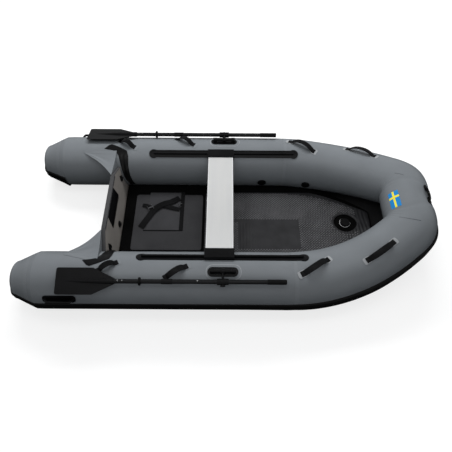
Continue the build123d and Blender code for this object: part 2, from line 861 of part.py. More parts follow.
cap_half = bench_width / 2 + bench_cap_margin
cap_bottom = bench_top - bench_thickness - bench_cap_margin
shoe = rail_frame(bench_station)
shoe_foot = rail_flange_thickness + shoe_clearance
cap_top = bench_top + bench_cap_lip
with BuildPart() as cap:
    with BuildSketch(Plane(origin=(at(bench_station), 0, 0), x_dir=(0, 1, 0), z_dir=(1, 0, 0))):
        with BuildLine():
            inboard_foot = shoe.from_local_coords(Vector(-shoe_half_width, shoe_foot, 0))
            outboard_foot = shoe.from_local_coords(Vector(shoe_half_width, shoe_foot, 0))
            outboard_top = shoe.from_local_coords(Vector(shoe_half_width, shoe_foot + shoe_height, 0))
            Polyline((cap_inner, cap_bottom), (inboard_foot.Y, inboard_foot.Z),
                     (outboard_foot.Y, outboard_foot.Z), (outboard_top.Y, outboard_top.Z),
                     (bench_length / 2 + bench_cap_end, cap_top), (cap_inner, cap_top), close=True)
        make_face()
    extrude(amount=cap_half, both=True)
    with BuildSketch(shoe):
        with Locations((0, rail_bead_lift)):
            Circle(rail_bead_radius + slide_gap)
        with Locations((0, rail_bead_lift / 2)):
            Rectangle(rail_stem_width + 2 * slide_gap, rail_bead_lift)
    extrude(amount=bench_width, both=True, mode=Mode.SUBTRACT)
    with BuildSketch(Plane(origin=(at(bench_station), 0, bench_top - bench_thickness / 2),
                           x_dir=(1, 0, 0), z_dir=(0, 1, 0))):
        pocket_room = 2 * (fit_gap - bench_neck)
        RectangleRounded(bench_width + pocket_room, bench_thickness + pocket_room,
                         bench_edge_radius - bench_neck)
    extrude(amount=bench_length / 2 + fit_gap, mode=Mode.SUBTRACT)
save_pair(cap, "bench_cap")

# Rowlocks: a glued pad with two knuckles, and a barrel whose stem carries the oar


def rowlock_plane(lift, angle=rowlock_angle):
    """Plane on the tube at the rowlock, X forward and Z away from the tube."""
    return skin_plane(rowlock_station, angle, lift)


with BuildPart() as rowlock_base:
    add(tube_space(glue_gap + rowlock_pad_thickness, rowlock_station - rowlock_pad_length,
                   rowlock_station + rowlock_pad_length))
    add(tube_space(glue_gap, rowlock_station - rowlock_pad_length,
                   rowlock_station + rowlock_pad_length), mode=Mode.SUBTRACT)
    with BuildSketch(rowlock_plane(0)):
        SlotOverall(rowlock_pad_length, rowlock_pad_width)
    extrude(amount=tube_radius / 2, both=True, mode=Mode.INTERSECT)
    for end in (-1, 1):
        start = end * (barrel_length / 2 + knuckle_gap)
        face = rowlock_plane(barrel_reach - tube_radius)
        ear = Plane(origin=face.origin + Vector(start, 0, 0), x_dir=(0, face.z_dir.Z, -face.z_dir.Y),
                    z_dir=(end, 0, 0))
        drop = barrel_reach - tube_radius - rowlock_pad_thickness / 2
        down = -1 if ear.y_dir.Z > 0 else 1
        with BuildSketch(ear):
            Circle(knuckle_radius)
            with Locations((0, down * drop / 2)):
                Rectangle(2 * knuckle_radius, drop)
        extrude(amount=knuckle_length)
        with BuildSketch(ear):
            Circle(barrel_pin_radius + fit_gap)
        extrude(amount=knuckle_length, mode=Mode.SUBTRACT)
save_pair(rowlock_base, "rowlock_base")

# Oar line
oar_middle = Vector(0, tube_offset + oar_reach * sin(radians(oar_angle)),
                    tube_radius + oar_reach * cos(radians(oar_angle)))
barrel_middle = rowlock_plane(barrel_reach - tube_radius).origin
stem_way = Vector(0, oar_middle.Y - barrel_middle.Y, oar_middle.Z - barrel_middle.Z)
stem_length = stem_way.length


def oar_plane(distance):
    """Plane across the oar, X outboard across the blade and Y up from it, facing forward."""
    tilt = radians(blade_tilt)
    return Plane(origin=(at(distance), oar_middle.Y, oar_middle.Z),
                 x_dir=(0, cos(tilt), -sin(tilt)), z_dir=(1, 0, 0))


with BuildPart() as rowlock:
    with BuildSketch(Plane(origin=barrel_middle - Vector(barrel_length / 2, 0, 0), x_dir=(0, 1, 0),
                           z_dir=(1, 0, 0))):
        Circle(barrel_radius)
    extrude(amount=barrel_length)
    with BuildSketch(Plane(origin=barrel_middle - Vector(barrel_length / 2 + knuckle_length, 0, 0),
                           x_dir=(0, 1, 0), z_dir=(1, 0, 0))):
        Circle(barrel_pin_radius)
    extrude(amount=barrel_length + 2 * knuckle_length)
    with BuildSketch(Plane(origin=barrel_middle - Vector(stem_ring_length / 2, 0, 0),
                           x_dir=(0, 1, 0), z_dir=(1, 0, 0))):
        Circle(stem_ring_radius)
    extrude(amount=stem_ring_length)
    with BuildSketch(Plane(origin=barrel_middle, x_dir=(1, 0, 0), z_dir=stem_way)):
        Circle(stem_radius)
    extrude(amount=stem_length)
    with BuildSketch(Plane(origin=(at(rowlock_station) - cuff_length / 2, oar_middle.Y,
                                   oar_middle.Z), x_dir=(0, 1, 0), z_dir=(1, 0, 0))):
        Circle(cuff_radius)
    extrude(amount=cuff_length)
    nut_plane = Plane(origin=oar_middle + Vector(at(rowlock_station), 0, 0)
                      + stem_way.normalized() * (cuff_radius - wing_nut_sink), x_dir=(1, 0, 0),
                      z_dir=stem_way)
    with BuildSketch(nut_plane):
        Circle(wing_nut_boss_radius)
        RectangleRounded(wing_nut_span, wing_thickness, wing_thickness * 0.4)
    extrude(amount=wing_nut_height)
    with BuildSketch(oar_plane(rowlock_station - cuff_length)):
        Circle(shaft_radius + fit_gap)
    extrude(amount=2 * cuff_length, mode=Mode.SUBTRACT)
save_pair(rowlock, "rowlock_pin")

oar_end = oar_start + oar_length
neck_station = oar_start + blade_length
with BuildPart() as shaft:
    with BuildSketch(oar_plane(neck_station)):
        Circle(shaft_radius)
    extrude(amount=oar_end - grip_length / 2 - neck_station)
save_pair(shaft, "oar_shaft")

with BuildPart() as blade:
    face = oar_plane(oar_start)
    flat = Plane(origin=face.origin, x_dir=(1, 0, 0), z_dir=face.y_dir)
    half = blade_width / 2
    with BuildSketch(flat):
        with BuildLine():
            FilletPolyline((0, 0), (0, half), (blade_full_length, half),
                           (blade_length, blade_neck_radius), (blade_length, 0),
                           radius=blade_corner_radius / 2)
            Line((blade_length, 0), (0, 0))
        make_face()
        mirror(about=Plane.XZ)
    extrude(amount=blade_thickness / 2, both=True)
    with BuildSketch(oar_plane(neck_station)):
        Circle(blade_neck_radius)
    with BuildSketch(oar_plane(oar_start + blade_full_length)):
        Circle(blade_spine_radius)
    with BuildSketch(oar_plane(oar_start + blade_spine_start)):
        Circle(blade_thickness / 2 + glue_gap)
    loft(ruled=True)
save_pair(blade, "oar_blade")

with BuildPart() as drip_ring:
    with BuildSketch(oar_plane(drip_ring_station - drip_ring_length / 2)):
        Circle(drip_ring_radius)
        Circle(shaft_radius + fit_gap, mode=Mode.SUBTRACT)
    extrude(amount=drip_ring_length)
    chamfer(drip_ring.edges().filter_by(GeomType.CIRCLE).sort_by(SortBy.RADIUS)[-2:],
            drip_ring_edge)
save_pair(drip_ring, "oar_drip_ring")

with BuildPart() as collar:
    with BuildSketch(oar_plane(collar_start)):
        Circle(collar_radius)
        Circle(shaft_radius + fit_gap, mode=Mode.SUBTRACT)
    extrude(amount=collar_length)
save_pair(collar, "oar_collar")

with BuildPart() as grip:
    with BuildSketch(oar_plane(oar_end - grip_length)):
        Circle(grip_radius)
    extrude(amount=grip_length)
    with BuildSketch(oar_plane(oar_end - grip_length)):
        Circle(shaft_radius + fit_gap)
    extrude(amount=grip_length / 2 + fit_gap, mode=Mode.SUBTRACT)
    fillet(grip.edges().filter_by(GeomType.CIRCLE).sort_by(Axis.X)[-1], grip_end_radius)
save_pair(grip, "oar_grip")

# Webbing carry handles: a strap arched between two glued patches


def carry_handle(aft_end, fore_end):
    """One strap with its patches, on the port tube."""
    feet = [skin_plane(run, angle, patch_gap) for run, angle in (aft_end, fore_end)]
    chord = feet[1].origin - feet[0].origin
    span = chord.length
    away = (feet[0].z_dir + feet[1].z_dir).normalized()
    across = chord.cross(away).normalized()
    side = Plane(origin=feet[0].origin, x_dir=chord, z_dir=across)
    up = 1 if side.y_dir.dot(away) > 0 else -1
    low = handle_patch_thickness - fit_gap
    high = low + handle_thickness
    for foot in feet:
        turned = Plane(origin=foot.origin, x_dir=chord, z_dir=foot.z_dir)
        with BuildSketch(turned) as patch:
            RectangleRounded(handle_patch_length, handle_patch_width, handle_patch_corner)
        extrude(patch.sketch, amount=handle_patch_thickness)
    with BuildSketch(side) as strap:
        with BuildLine():
            ThreePointArc((0, up * low), (span / 2, up * (handle_rise + low)), (span, up * low))
            Line((span, up * low), (span + handle_thickness, up * high))
            ThreePointArc((span + handle_thickness, up * high),
                          (span / 2, up * (handle_rise + high)), (-handle_thickness, up * high))
            Line((-handle_thickness, up * high), (0, up * low))
        make_face()
    extrude(strap.sketch, amount=handle_width / 2, both=True)


with BuildPart() as handles:
    for aft_end, fore_end in handle_ends:
        carry_handle(aft_end, fore_end)
save_pair(handles, "carry_handles")

# Moulded grab handles: a glued plate with a bar held off it


def grab(plane, length, width):
    """Plate and bar, lying along the plane's X."""
    with BuildSketch(plane) as plate:
        RectangleRounded(length, width, width * 0.4)
    extrude(plate.sketch, amount=grab_plate_thickness)
    reach = length / 2 - width * 0.3
    middle = Plane(origin=plane.origin, x_dir=plane.x_dir, z_dir=plane.y_dir)
    up = 1 if middle.y_dir.dot(plane.z_dir) > 0 else -1
    with BuildLine(middle) as bar_line:
        FilletPolyline((-reach, up * grab_plate_thickness / 2), (-reach * 0.8, up * grab_bar_reach),
                       (reach * 0.8, up * grab_bar_reach), (reach, up * grab_plate_thickness / 2),
                       radius=grab_bar_radius * 1.6)
    start = Plane(origin=middle.from_local_coords(Vector(-reach, up * grab_plate_thickness / 2, 0)),
                  z_dir=(middle.from_local_coords(Vector(-reach * 0.8, up * grab_bar_reach, 0))
                         - middle.from_local_coords(Vector(-reach, up * grab_plate_thickness / 2, 0))))
    with BuildSketch(start) as bar:
        Circle(grab_bar_radius)
    sweep(bar.sketch, path=bar_line.line)
    with BuildSketch(plane) as behind:
        Rectangle(2 * length, 2 * width)
    extrude(behind.sketch, amount=-width, mode=Mode.SUBTRACT)


with BuildPart() as stern_grab:
    grab(skin_plane(stern_grab_station, stern_grab_angle, patch_gap), stern_grab_length,
         stern_grab_width)
save_pair(stern_grab, "stern_grab")

with BuildPart() as bow_grab:
    front = tube_line(bend_start + bow_run)
    a = radians(bow_grab_angle)
    away = Vector(sin(a), 0, cos(a))
    grab(Plane(origin=front[0] + away * (front[3] + patch_gap), x_dir=(0, 1, 0), z_dir=away),
         bow_grab_length, stern_grab_width)
save(bow_grab, "bow_grab")

# Tow rings under the shoulders of the bow
with BuildPart() as tow_ring:
    patch = skin_plane(tow_ring_station, tow_ring_angle, patch_gap)
    with BuildSketch(patch):
        Circle(tow_patch_radius)
    extrude(amount=tow_patch_thickness)
    with BuildSketch(patch.offset(tow_patch_thickness)):
        RectangleRounded(2 * tow_ring_radius, tow_saddle_width, tow_saddle_corner)
    extrude(amount=tow_saddle_height)
    saddle = patch.origin + patch.z_dir * (tow_patch_thickness + tow_ring_lift)
    out = patch.z_dir.rotate(Axis((0, 0, 0), patch.x_dir), tow_ring_swing)
    ring_middle = saddle + out * tow_ring_radius
    with BuildSketch(Plane(origin=ring_middle + patch.x_dir * tow_ring_radius, x_dir=patch.x_dir,
                           z_dir=out)):
        Circle(tow_wire_radius)
    revolve(axis=Axis(ring_middle, out.cross(patch.x_dir)))
save_pair(tow_ring, "tow_ring")

# Inflation valves, low on the inner sides of the tubes
with BuildPart() as valves:
    for station in valve_stations:
        seat = skin_plane(station, valve_angle, patch_gap)
        with BuildSketch(seat):
            Circle(valve_radius)
        extrude(amount=valve_lift)
        with BuildSketch(seat.offset(valve_lift)):
            Circle(valve_cap_radius)
        extrude(amount=valve_cap_height)
save(valves, "tube_valves")
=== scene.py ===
# %% [markdown]
# # An inflatable tender, finished in Blender
#
# The boat is about three metres long: two buoyancy tubes that meet at the bow, a black rubbing
# strake, an air floor, a plywood transom, an aluminium bench on rails and two stowed oars. The
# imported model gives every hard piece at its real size. This script gives each one its surface and
# makes what is fabric as fabric: tube skins, seams, straps, flaps and the ribbed floor pads.

# %% Load the frame
import math
import bpy
from mathutils import Matrix, Vector, noise

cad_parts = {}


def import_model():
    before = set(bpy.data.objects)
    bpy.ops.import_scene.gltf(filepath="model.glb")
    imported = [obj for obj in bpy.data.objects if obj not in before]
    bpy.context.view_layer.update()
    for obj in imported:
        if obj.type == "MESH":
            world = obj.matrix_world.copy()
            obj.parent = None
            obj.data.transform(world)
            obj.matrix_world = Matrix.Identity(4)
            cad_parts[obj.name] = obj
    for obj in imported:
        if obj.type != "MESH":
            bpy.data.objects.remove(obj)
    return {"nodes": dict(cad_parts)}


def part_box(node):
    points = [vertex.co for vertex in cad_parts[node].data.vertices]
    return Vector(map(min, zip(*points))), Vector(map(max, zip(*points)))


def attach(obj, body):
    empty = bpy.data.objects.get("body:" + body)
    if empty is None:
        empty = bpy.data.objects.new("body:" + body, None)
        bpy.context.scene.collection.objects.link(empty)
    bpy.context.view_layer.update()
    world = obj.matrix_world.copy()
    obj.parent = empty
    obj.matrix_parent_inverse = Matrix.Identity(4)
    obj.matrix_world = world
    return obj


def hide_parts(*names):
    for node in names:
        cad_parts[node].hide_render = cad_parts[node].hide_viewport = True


cad_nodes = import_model()["nodes"]
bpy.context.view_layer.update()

# %% [markdown]
# ## The camera
#
# A photograph taken from above with a normal lens is described by five things: where the camera
# stands, how far it looks down, which way it faces, its roll and its lens. They are set as plain
# values, and the three axes of the camera are built from them, which is easier to read than a
# matrix of nine numbers.

# %% Camera
camera_place = Vector((-0.0082, -2.1053, 3.1675))
look_down = math.radians(55.89)
heading = math.radians(0.0632)
roll = math.radians(0.4139)
lens = 38.07

forward = Vector((math.sin(heading) * math.cos(look_down),
                  math.cos(heading) * math.cos(look_down), -math.sin(look_down)))
level_right = Vector((math.cos(heading), -math.sin(heading), 0))
level_up = level_right.cross(forward)
right = level_right * math.cos(roll) + level_up * math.sin(roll)
up = level_up * math.cos(roll) - level_right * math.sin(roll)
bpy.ops.object.camera_add()
camera = bpy.context.object
camera.data.lens = lens
camera.matrix_world = Matrix.Translation(camera_place) @ Matrix(
    (right, up, -forward)).transposed().to_4x4()
bpy.context.scene.camera = camera

# %% [markdown]
# ## Studio floor and lights
#
# The boat stands on a plain white floor. A large soft light overhead and a bright world above it
# give the long gentle highlights that satin fabric shows, with hardly any shadow. A white floor
# would also throw light back up and wash out everything black, so this floor is hidden from the
# boat's own light and reflections, and below the horizon the world is dark. The standard view
# transform keeps the floor white, where a film-like one would turn it grey.

# %% Floor, world and lights


def set_sockets(node, values):
    """Set sockets of a shader node by name."""
    for socket, value in values.items():
        node.inputs[socket].default_value = value


def link(source, output, target, socket):
    """Join an output of one shader node to a socket of another."""
    source.id_data.links.new(source.outputs[output], target.inputs[socket])


bpy.ops.mesh.primitive_plane_add(size=60)
studio_floor = bpy.context.object
studio_floor.name = "studio_floor"
paper = bpy.data.materials.new("studio_paper")
paper.use_nodes = True
set_sockets(paper.node_tree.nodes["Principled BSDF"], {
    "Base Color": (0.35, 0.35, 0.35, 1), "Roughness": 0.9, "Specular IOR Level": 0.1,
    "Emission Color": (1, 1, 1, 1), "Emission Strength": 0.74})
studio_floor.data.materials.append(paper)
studio_floor.visible_diffuse = False
studio_floor.visible_glossy = False

world = bpy.data.worlds.new("studio")
bpy.context.scene.world = world
world.use_nodes = True
world_nodes = world.node_tree.nodes
sky = world_nodes["Background"]
sky.inputs["Color"].default_value = (0.97, 0.985, 1, 1)
direction = world_nodes.new("ShaderNodeTexCoord")
split = world_nodes.new("ShaderNodeSeparateXYZ")
height_share = world_nodes.new("ShaderNodeMapRange")
height_share.inputs["From Min"].default_value = -1
brightness = world_nodes.new("ShaderNodeFloatCurve")
curve_points = brightness.mapping.curves[0].points
ground_glow = 0.04
zenith_glow = 0.46
for share, value in ((0.45, ground_glow), (0.5, 0.8), (0.6, 0.5)):
    curve_points.new(share, value)
curve_points[0].location = (0, ground_glow)
curve_points[-1].location = (1, zenith_glow)
brightness.mapping.update()
link(direction, "Generated", split, "Vector")
link(split, "Z", height_share, "Value")
link(height_share, "Result", brightness, "Value")
link(brightness, "Value", sky, "Strength")
bpy.context.scene.view_settings.view_transform = "Standard"


def soft_light(name, place, target, width, depth, power):
    """A rectangular soft box that hangs at a place and faces a target."""
    bpy.ops.object.light_add(type="AREA", location=place)
    light = bpy.context.object
    light.name = name
    light.data.shape = "RECTANGLE"
    light.data.size = width
    light.data.size_y = depth
    light.data.energy = power
    light.rotation_euler = (Vector(target) - Vector(place)).to_track_quat("-Z", "Y").to_euler()
    return light


key = soft_light("high_key", (-0.3, 3.0, 3.7), (0, 0, 0.2), 4.6, 1.0, 215)
key.visible_glossy = False
soft_light("overhead_box", (0, -0.4, 3.8), (0, 0, 0), 4.4, 0.8, 22)
soft_light("front_fill", (0.5, -4.5, 2.2), (0, 0, 0.2), 4, 1.6, 8)

# %% [markdown]
# ## Materials
#
# No real surface has one flat colour. Coated fabric is a little mottled, rubber is scuffed, foam is
# grained and aluminium is drawn in one direction. One helper builds the common part: two close
# tones mixed by a soft noise, a roughness that wanders, and a fine bump. Each finish then sets its
# own sizes. Everything reads Object coordinates, so the pattern stays on the piece when it moves.

# %% Material helper
rough_spread = 0.08


def finish(name, tone, other_tone, roughness, grain, bump, specular=0.5, mottle=6,
           stretch=(1, 1, 1), metallic=0):
    """A material: two tones, their mottle, a roughness and a fine grain, sizes in cells a metre."""
    material = bpy.data.materials.new(name)
    material.use_nodes = True
    nodes = material.node_tree.nodes
    shader = nodes["Principled BSDF"]
    set_sockets(shader, {"Metallic": metallic, "Specular IOR Level": specular})
    place = nodes.new("ShaderNodeTexCoord")
    turned = nodes.new("ShaderNodeMapping")
    soft = nodes.new("ShaderNodeTexNoise")
    fine = nodes.new("ShaderNodeTexNoise")
    tones = nodes.new("ShaderNodeValToRGB")
    wander = nodes.new("ShaderNodeMapRange")
    relief = nodes.new("ShaderNodeBump")
    set_sockets(turned, {"Scale": stretch})
    set_sockets(soft, {"Scale": mottle, "Detail": 5})
    set_sockets(fine, {"Scale": grain, "Detail": 2})
    set_sockets(wander, {"To Min": roughness - rough_spread, "To Max": roughness + rough_spread})
    set_sockets(relief, {"Strength": bump, "Distance": 0.001})
    for stop, position, colour in zip(tones.color_ramp.elements, (0.3, 0.7), (tone, other_tone)):
        stop.position = position
        stop.color = (*colour, 1)
    link(place, "Object", turned, "Vector")
    link(turned, "Vector", soft, "Vector")
    link(turned, "Vector", fine, "Vector")
    link(soft, "Fac", tones, "Fac")
    link(tones, "Color", shader, "Base Color")
    link(soft, "Fac", wander, "Value")
    link(wander, "Result", shader, "Roughness")
    link(fine, "Fac", relief, "Height")
    link(relief, "Normal", shader, "Normal")
    return material


# %% [markdown]
# Each row is a name, two tones, roughness, grain and bump, and then as needed the specular level,
# the mottle, a stretch and how metallic it is.

# %% Finishes
finish_rows = (
    ("tube_fabric", (0.146, 0.158, 0.169), (0.16, 0.173, 0.185), 0.44, 900, 0.12, 0.3),
    # tube fabric made a little lighter: a painted highlight on the seam tapes and on the aft and
    # side handle patches
    ("seam_fabric", (0.158, 0.17, 0.181), (0.174, 0.187, 0.199), 0.48, 900, 0.15, 0.3),
    # a dark strip of painted shade for the bow creases
    ("crease_fabric", (0.05, 0.055, 0.06), (0.065, 0.07, 0.076), 0.5, 900, 0.1, 0.2),
    # light grey: a painted highlight on the bend and bow handle patches and on the rowlock rims
    ("patch_fabric", (0.25, 0.262, 0.272), (0.3, 0.31, 0.32), 0.5, 900, 0.3, 0.3),
    ("black_fabric", (0.002, 0.002, 0.0022), (0.006, 0.006, 0.0065), 0.34, 900, 0.2, 0.16),
    ("bottom_fabric", (0.004, 0.004, 0.004), (0.007, 0.007, 0.008), 0.55, 900, 0.15, 0.12),
    ("floor_fabric", (0.0012, 0.0012, 0.0012), (0.0025, 0.0025, 0.0025), 0.65, 700, 0.2, 0.03),
    ("pouch_cloth", (0.028, 0.028, 0.03), (0.038, 0.038, 0.041), 0.6, 800, 0.4, 0.2),
    ("webbing", (0.0018, 0.0018, 0.002), (0.005, 0.005, 0.0055), 0.45, 900, 0.4, 0.12),
    ("strake_rubber", (0.003, 0.003, 0.003), (0.005, 0.005, 0.005), 0.55, 300, 0.2, 0.12),
    ("soft_rubber", (0.0022, 0.0022, 0.0022), (0.0045, 0.0045, 0.0045), 0.5, 500, 0.3, 0.1),
    ("foam_pad", (0.026, 0.026, 0.028), (0.036, 0.036, 0.038), 0.7, 500, 0.5, 0.15),
    ("mat_rubber", (0.009, 0.009, 0.01), (0.022, 0.022, 0.024), 0.42, 600, 0.2, 0.45, 9),
    # studs lighter than the mat they belong to: a painted highlight on them
    ("painted_highlight_stud", (0.075, 0.075, 0.08), (0.11, 0.11, 0.115), 0.36, 600, 0.1, 0.6, 9),
    ("trim_grey", (0.04, 0.04, 0.042), (0.06, 0.06, 0.062), 0.6, 350, 0.6, 0.3),
    ("transom_panel", (0.2, 0.186, 0.172), (0.245, 0.228, 0.212), 0.45, 400, 0.15, 0.3),
    ("black_plastic", (0.002, 0.002, 0.0022), (0.004, 0.004, 0.0045), 0.36, 250, 0.1, 0.14),
    ("grey_plastic", (0.03, 0.03, 0.032), (0.045, 0.045, 0.048), 0.3, 250, 0.1, 0.7),
    ("oar_plastic", (0.0035, 0.0035, 0.004), (0.006, 0.006, 0.007), 0.36, 200, 0.1, 0.2, 6,
     (0.3, 1, 1)),
    ("bench_aluminium", (0.66, 0.665, 0.665), (0.71, 0.71, 0.7), 0.5, 160, 0.1, 0.5, 3,
     (6, 0.4, 6), 0.5),
    # near-white: a painted highlight for edges that catch the light, on the bench lips and the
    # valve rim
    ("edge_painted_highlight", (0.85, 0.86, 0.87), (0.9, 0.9, 0.9), 0.35, 160, 0.05, 0.5, 6, (1, 1, 1), 0.4),
    ("stainless", (0.55, 0.55, 0.55), (0.62, 0.62, 0.62), 0.25, 300, 0.05, 0.5, 6, (1, 1, 1), 1),
    ("flag_blue", (0.003, 0.19, 0.5), (0.005, 0.22, 0.56), 0.45, 700, 0.1),
    ("flag_yellow", (0.78, 0.68, 0.03), (0.86, 0.76, 0.05), 0.45, 700, 0.1),
)
finishes = {row[0]: finish(*row) for row in finish_rows}
finishes["oar_tube"] = finishes["oar_plastic"]

for name, node in cad_nodes.items():
    for index, old in enumerate(node.data.materials):
        slot_name = "trim_grey" if name == "transom_trim" else old.name.split(".")[0] if old else ""
        node.data.materials[index] = finishes.get(slot_name, finishes["black_plastic"])

# %% [markdown]
# ## The line of the tubes
#
# Nearly everything on this boat is glued to a tube, so one function has to know where the tube
# runs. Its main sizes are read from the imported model. From the start of the bend it follows the
# same arcs as the real one: a long bend, a tight corner, and a short straight front, while the
# line rises and the tube narrows.

# %% Tube line
side_low, side_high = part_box("tube_port")
stern_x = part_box("cone_port")[0].x
tube_radius = (side_high.z - side_low.z) / 2
tube_offset = (side_low.y + side_high.y) / 2
bend_start = side_high.x - stern_x
bow_radius = 0.176
bow_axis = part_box("tube_bow")[1].x - bow_radius - stern_x
cone_roundness = 0.42
side_bend_angle = math.radians(37.5)
corner_radius = 0.2
front_half_width = 0.098
bow_rise = 0.145
rise_past_bend = 0.2
cone_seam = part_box("cone_port")[1].x - stern_x
cone_tip = 0.019
cone_shoulder = 0.068
cone_tip_radius = 0.128
side_bend_radius = ((tube_offset - front_half_width - corner_radius * math.cos(side_bend_angle))
                    / (1 - math.cos(side_bend_angle)))
bend_run = side_bend_radius * side_bend_angle
corner_run = corner_radius * (math.pi / 2 - side_bend_angle)
bow_middle = bend_start + bend_run + corner_run + front_half_width
girth_half = math.pi * tube_radius


def clamp(share):
    """A share kept between 0 and 1."""
    return min(max(share, 0), 1)


def cone_radius(run):
    """Radius of the stern cone: a straight taper from its seam, then a quarter of an ellipse."""
    if run >= cone_shoulder:
        share = clamp((run - cone_shoulder) / (cone_seam - cone_shoulder))
        return cone_tip_radius + (tube_radius - cone_tip_radius) * share
    share = clamp((run - cone_tip) / (cone_shoulder - cone_tip))
    return cone_tip_radius * (1 - (1 - share) ** 2) ** cone_roundness


def tube_line(run):
    """Middle, outward and forward directions and radius of the port tube, at a run from its tip."""
    past = max(run - bend_start, 0)
    in_bend = min(past, bend_run)
    in_corner = min(max(past - bend_run, 0), corner_run)
    in_front = max(past - bend_run - corner_run, 0)
    turn = in_bend / side_bend_radius
    heading_here = turn + in_corner / corner_radius
    x = min(run, bend_start) + side_bend_radius * math.sin(turn)
    x += corner_radius * (math.sin(heading_here) - math.sin(turn))
    y = tube_offset - side_bend_radius * (1 - math.cos(turn))
    y -= corner_radius * (math.cos(turn) - math.cos(heading_here)) + in_front
    rise_start = bend_start + rise_past_bend
    share = max(x - rise_start, 0) / (bow_axis - rise_start)
    slope = 2 * bow_rise * share / (bow_axis - rise_start) * math.cos(heading_here)
    ahead = Vector((math.cos(heading_here), -math.sin(heading_here), slope)).normalized()
    outward = Vector((math.sin(heading_here), math.cos(heading_here), 0))
    narrowing = clamp((past - rise_past_bend) / (bend_run + corner_run - rise_past_bend))
    radius = tube_radius + (bow_radius - tube_radius) * narrowing
    if run < cone_seam:
        radius = cone_radius(run)
    return Vector((x + stern_x, y, tube_radius + bow_rise * share ** 2)), outward, ahead, radius


def on_skin(run, girth, lift=0.0):
    """A point on the port tube: girth goes round from the top, outboard positive."""
    across_bow = run > bow_middle
    if across_bow:
        run = 2 * bow_middle - run
    middle, outward, ahead, radius = tube_line(run)
    angle = girth / tube_radius
    away = outward * math.sin(angle) + ahead.cross(outward) * math.cos(angle)
    point = middle + away * (radius + lift)
    return Vector((point.x, -point.y, point.z)) if across_bow else point


# %% [markdown]
# ## Working flat, as the maker does
#
# A boat builder cuts fabric flat on a table and only then wraps it round the tube. The same order
# keeps the modelling simple here: a strap or a patch is shaped flat, X along the tube, Y round it
# and Z away from it, and one last step lays every point on the skin.

# %% Modelling helpers


def deselect():
    """Object mode with nothing selected."""
    if bpy.context.object and bpy.context.object.mode != "OBJECT":
        bpy.ops.object.mode_set(mode="OBJECT")
    bpy.ops.object.select_all(action="DESELECT")


def take(piece):
    """Make a piece the only selected and active one."""
    deselect()
    piece.select_set(True)
    bpy.context.view_layer.objects.active = piece


def made(name):
    """The object just made, given its name."""
    piece = bpy.context.object
    piece.name = piece.data.name = name
    return piece


def apply_modifier(piece, kind, **settings):
    """Add a modifier and apply it at once."""
    take(piece)
    modifier = piece.modifiers.new(kind.title(), kind)
    for setting, value in settings.items():
        setattr(modifier, setting, value)
    bpy.ops.object.modifier_apply(modifier=modifier.name)


def thicken(piece, thickness, offset=1):
    """Give a sheet its thickness, outward by default."""
    apply_modifier(piece, "SOLIDIFY", thickness=thickness, offset=offset)


def soften(piece, width, segments=2, angle=30):
    """Round the edges that are sharper than an angle."""
    apply_modifier(piece, "BEVEL", width=width, segments=segments, limit_method="ANGLE",
                   angle_limit=math.radians(angle))


def settle(piece):
    """Move the object's place into its mesh, so that the object sits at the origin."""
    take(piece)
    bpy.ops.object.transform_apply(location=True, rotation=True, scale=True)


def edit_whole(piece, *steps):
    """Run mesh operators on a whole piece. Each step is an operator with its settings."""
    take(piece)
    bpy.ops.object.mode_set(mode="EDIT")
    for operator, settings in steps:
        bpy.ops.mesh.select_all(action="SELECT")
        operator(**settings)
    bpy.ops.object.mode_set(mode="OBJECT")


def cuts_at(axis, places):
    """Steps that cut a flat piece at places along X, axis 0, or Y, axis 1."""
    normal = Vector((1 - axis, axis, 0))
    return [(bpy.ops.mesh.bisect, {"plane_co": normal * place, "plane_no": normal})
            for place in places]


def dress(piece, slot_name, *replaced, look=None, body="hull", angle=40):
    """Shade a finished piece smooth, give it the finish of its look or else of its slot name,
    attach it to its body and hide the CAD nodes that it stands for.
    """
    take(piece)
    bpy.ops.object.shade_smooth_by_angle(angle=math.radians(angle))
    piece.data.materials.clear()
    piece.data.materials.append(finishes[look or slot_name])
    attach(piece, body)
    if replaced:
        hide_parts(*replaced)


def flat_panel(name, length, width, cells_along, cells_across):
    """A flat rectangle of cloth with a grid of points and a UV map in metres."""
    deselect()
    bpy.ops.mesh.primitive_grid_add(x_subdivisions=cells_along, y_subdivisions=cells_across, size=1)
    piece = made(name)
    piece.scale = (length, width, 1)
    settle(piece)
    for corner in piece.data.uv_layers.active.data:
        corner.uv = (corner.uv[0] * length, corner.uv[1] * width)
    return piece


def rounded_patch(name, length, width, corner, thickness, step=0.012):
    """A flat patch with rounded corners, cut by a grid so that it can bend, with its thickness."""
    deselect()
    bpy.ops.mesh.primitive_plane_add(size=1)
    piece = made(name)
    piece.scale = (length, width, 1)
    settle(piece)
    edit_whole(piece, (bpy.ops.mesh.bevel,
                       {"offset": corner, "segments": 5, "affect": "VERTICES"}))
    for axis, size in enumerate((length, width)):
        cuts = max(int(size / step), 2)
        edit_whole(piece, *cuts_at(axis, [size * (index / cuts - 0.5) for index in range(1, cuts)]))
    if thickness:
        thicken(piece, thickness)
    return piece


def move_points(piece, where):
    """Put every point of a piece where a function of its place says."""
    for point in piece.data.vertices:
        point.co = where(point.co)
    piece.data.update()


def turn_flat(piece, angle, along, across):
    """Turn a flat piece in its own plane and carry it to a place on the flat pattern."""
    piece.rotation_euler = (0, 0, angle)
    piece.location = (along, across, 0)
    settle(piece)


def to_side(piece, side):
    """Leave a piece made for the port side there, or mirror it to starboard with side -1."""
    if side < 0:
        move_points(piece, lambda at: Vector((at.x, -at.y, at.z)))
        piece.data.flip_normals()


def lay_on_tube(piece, side=1):
    """Wrap a flat piece on the port tube, or on the starboard one with side -1."""
    move_points(piece, lambda at: on_skin(at.x, at.y, at.z))
    to_side(piece, side)


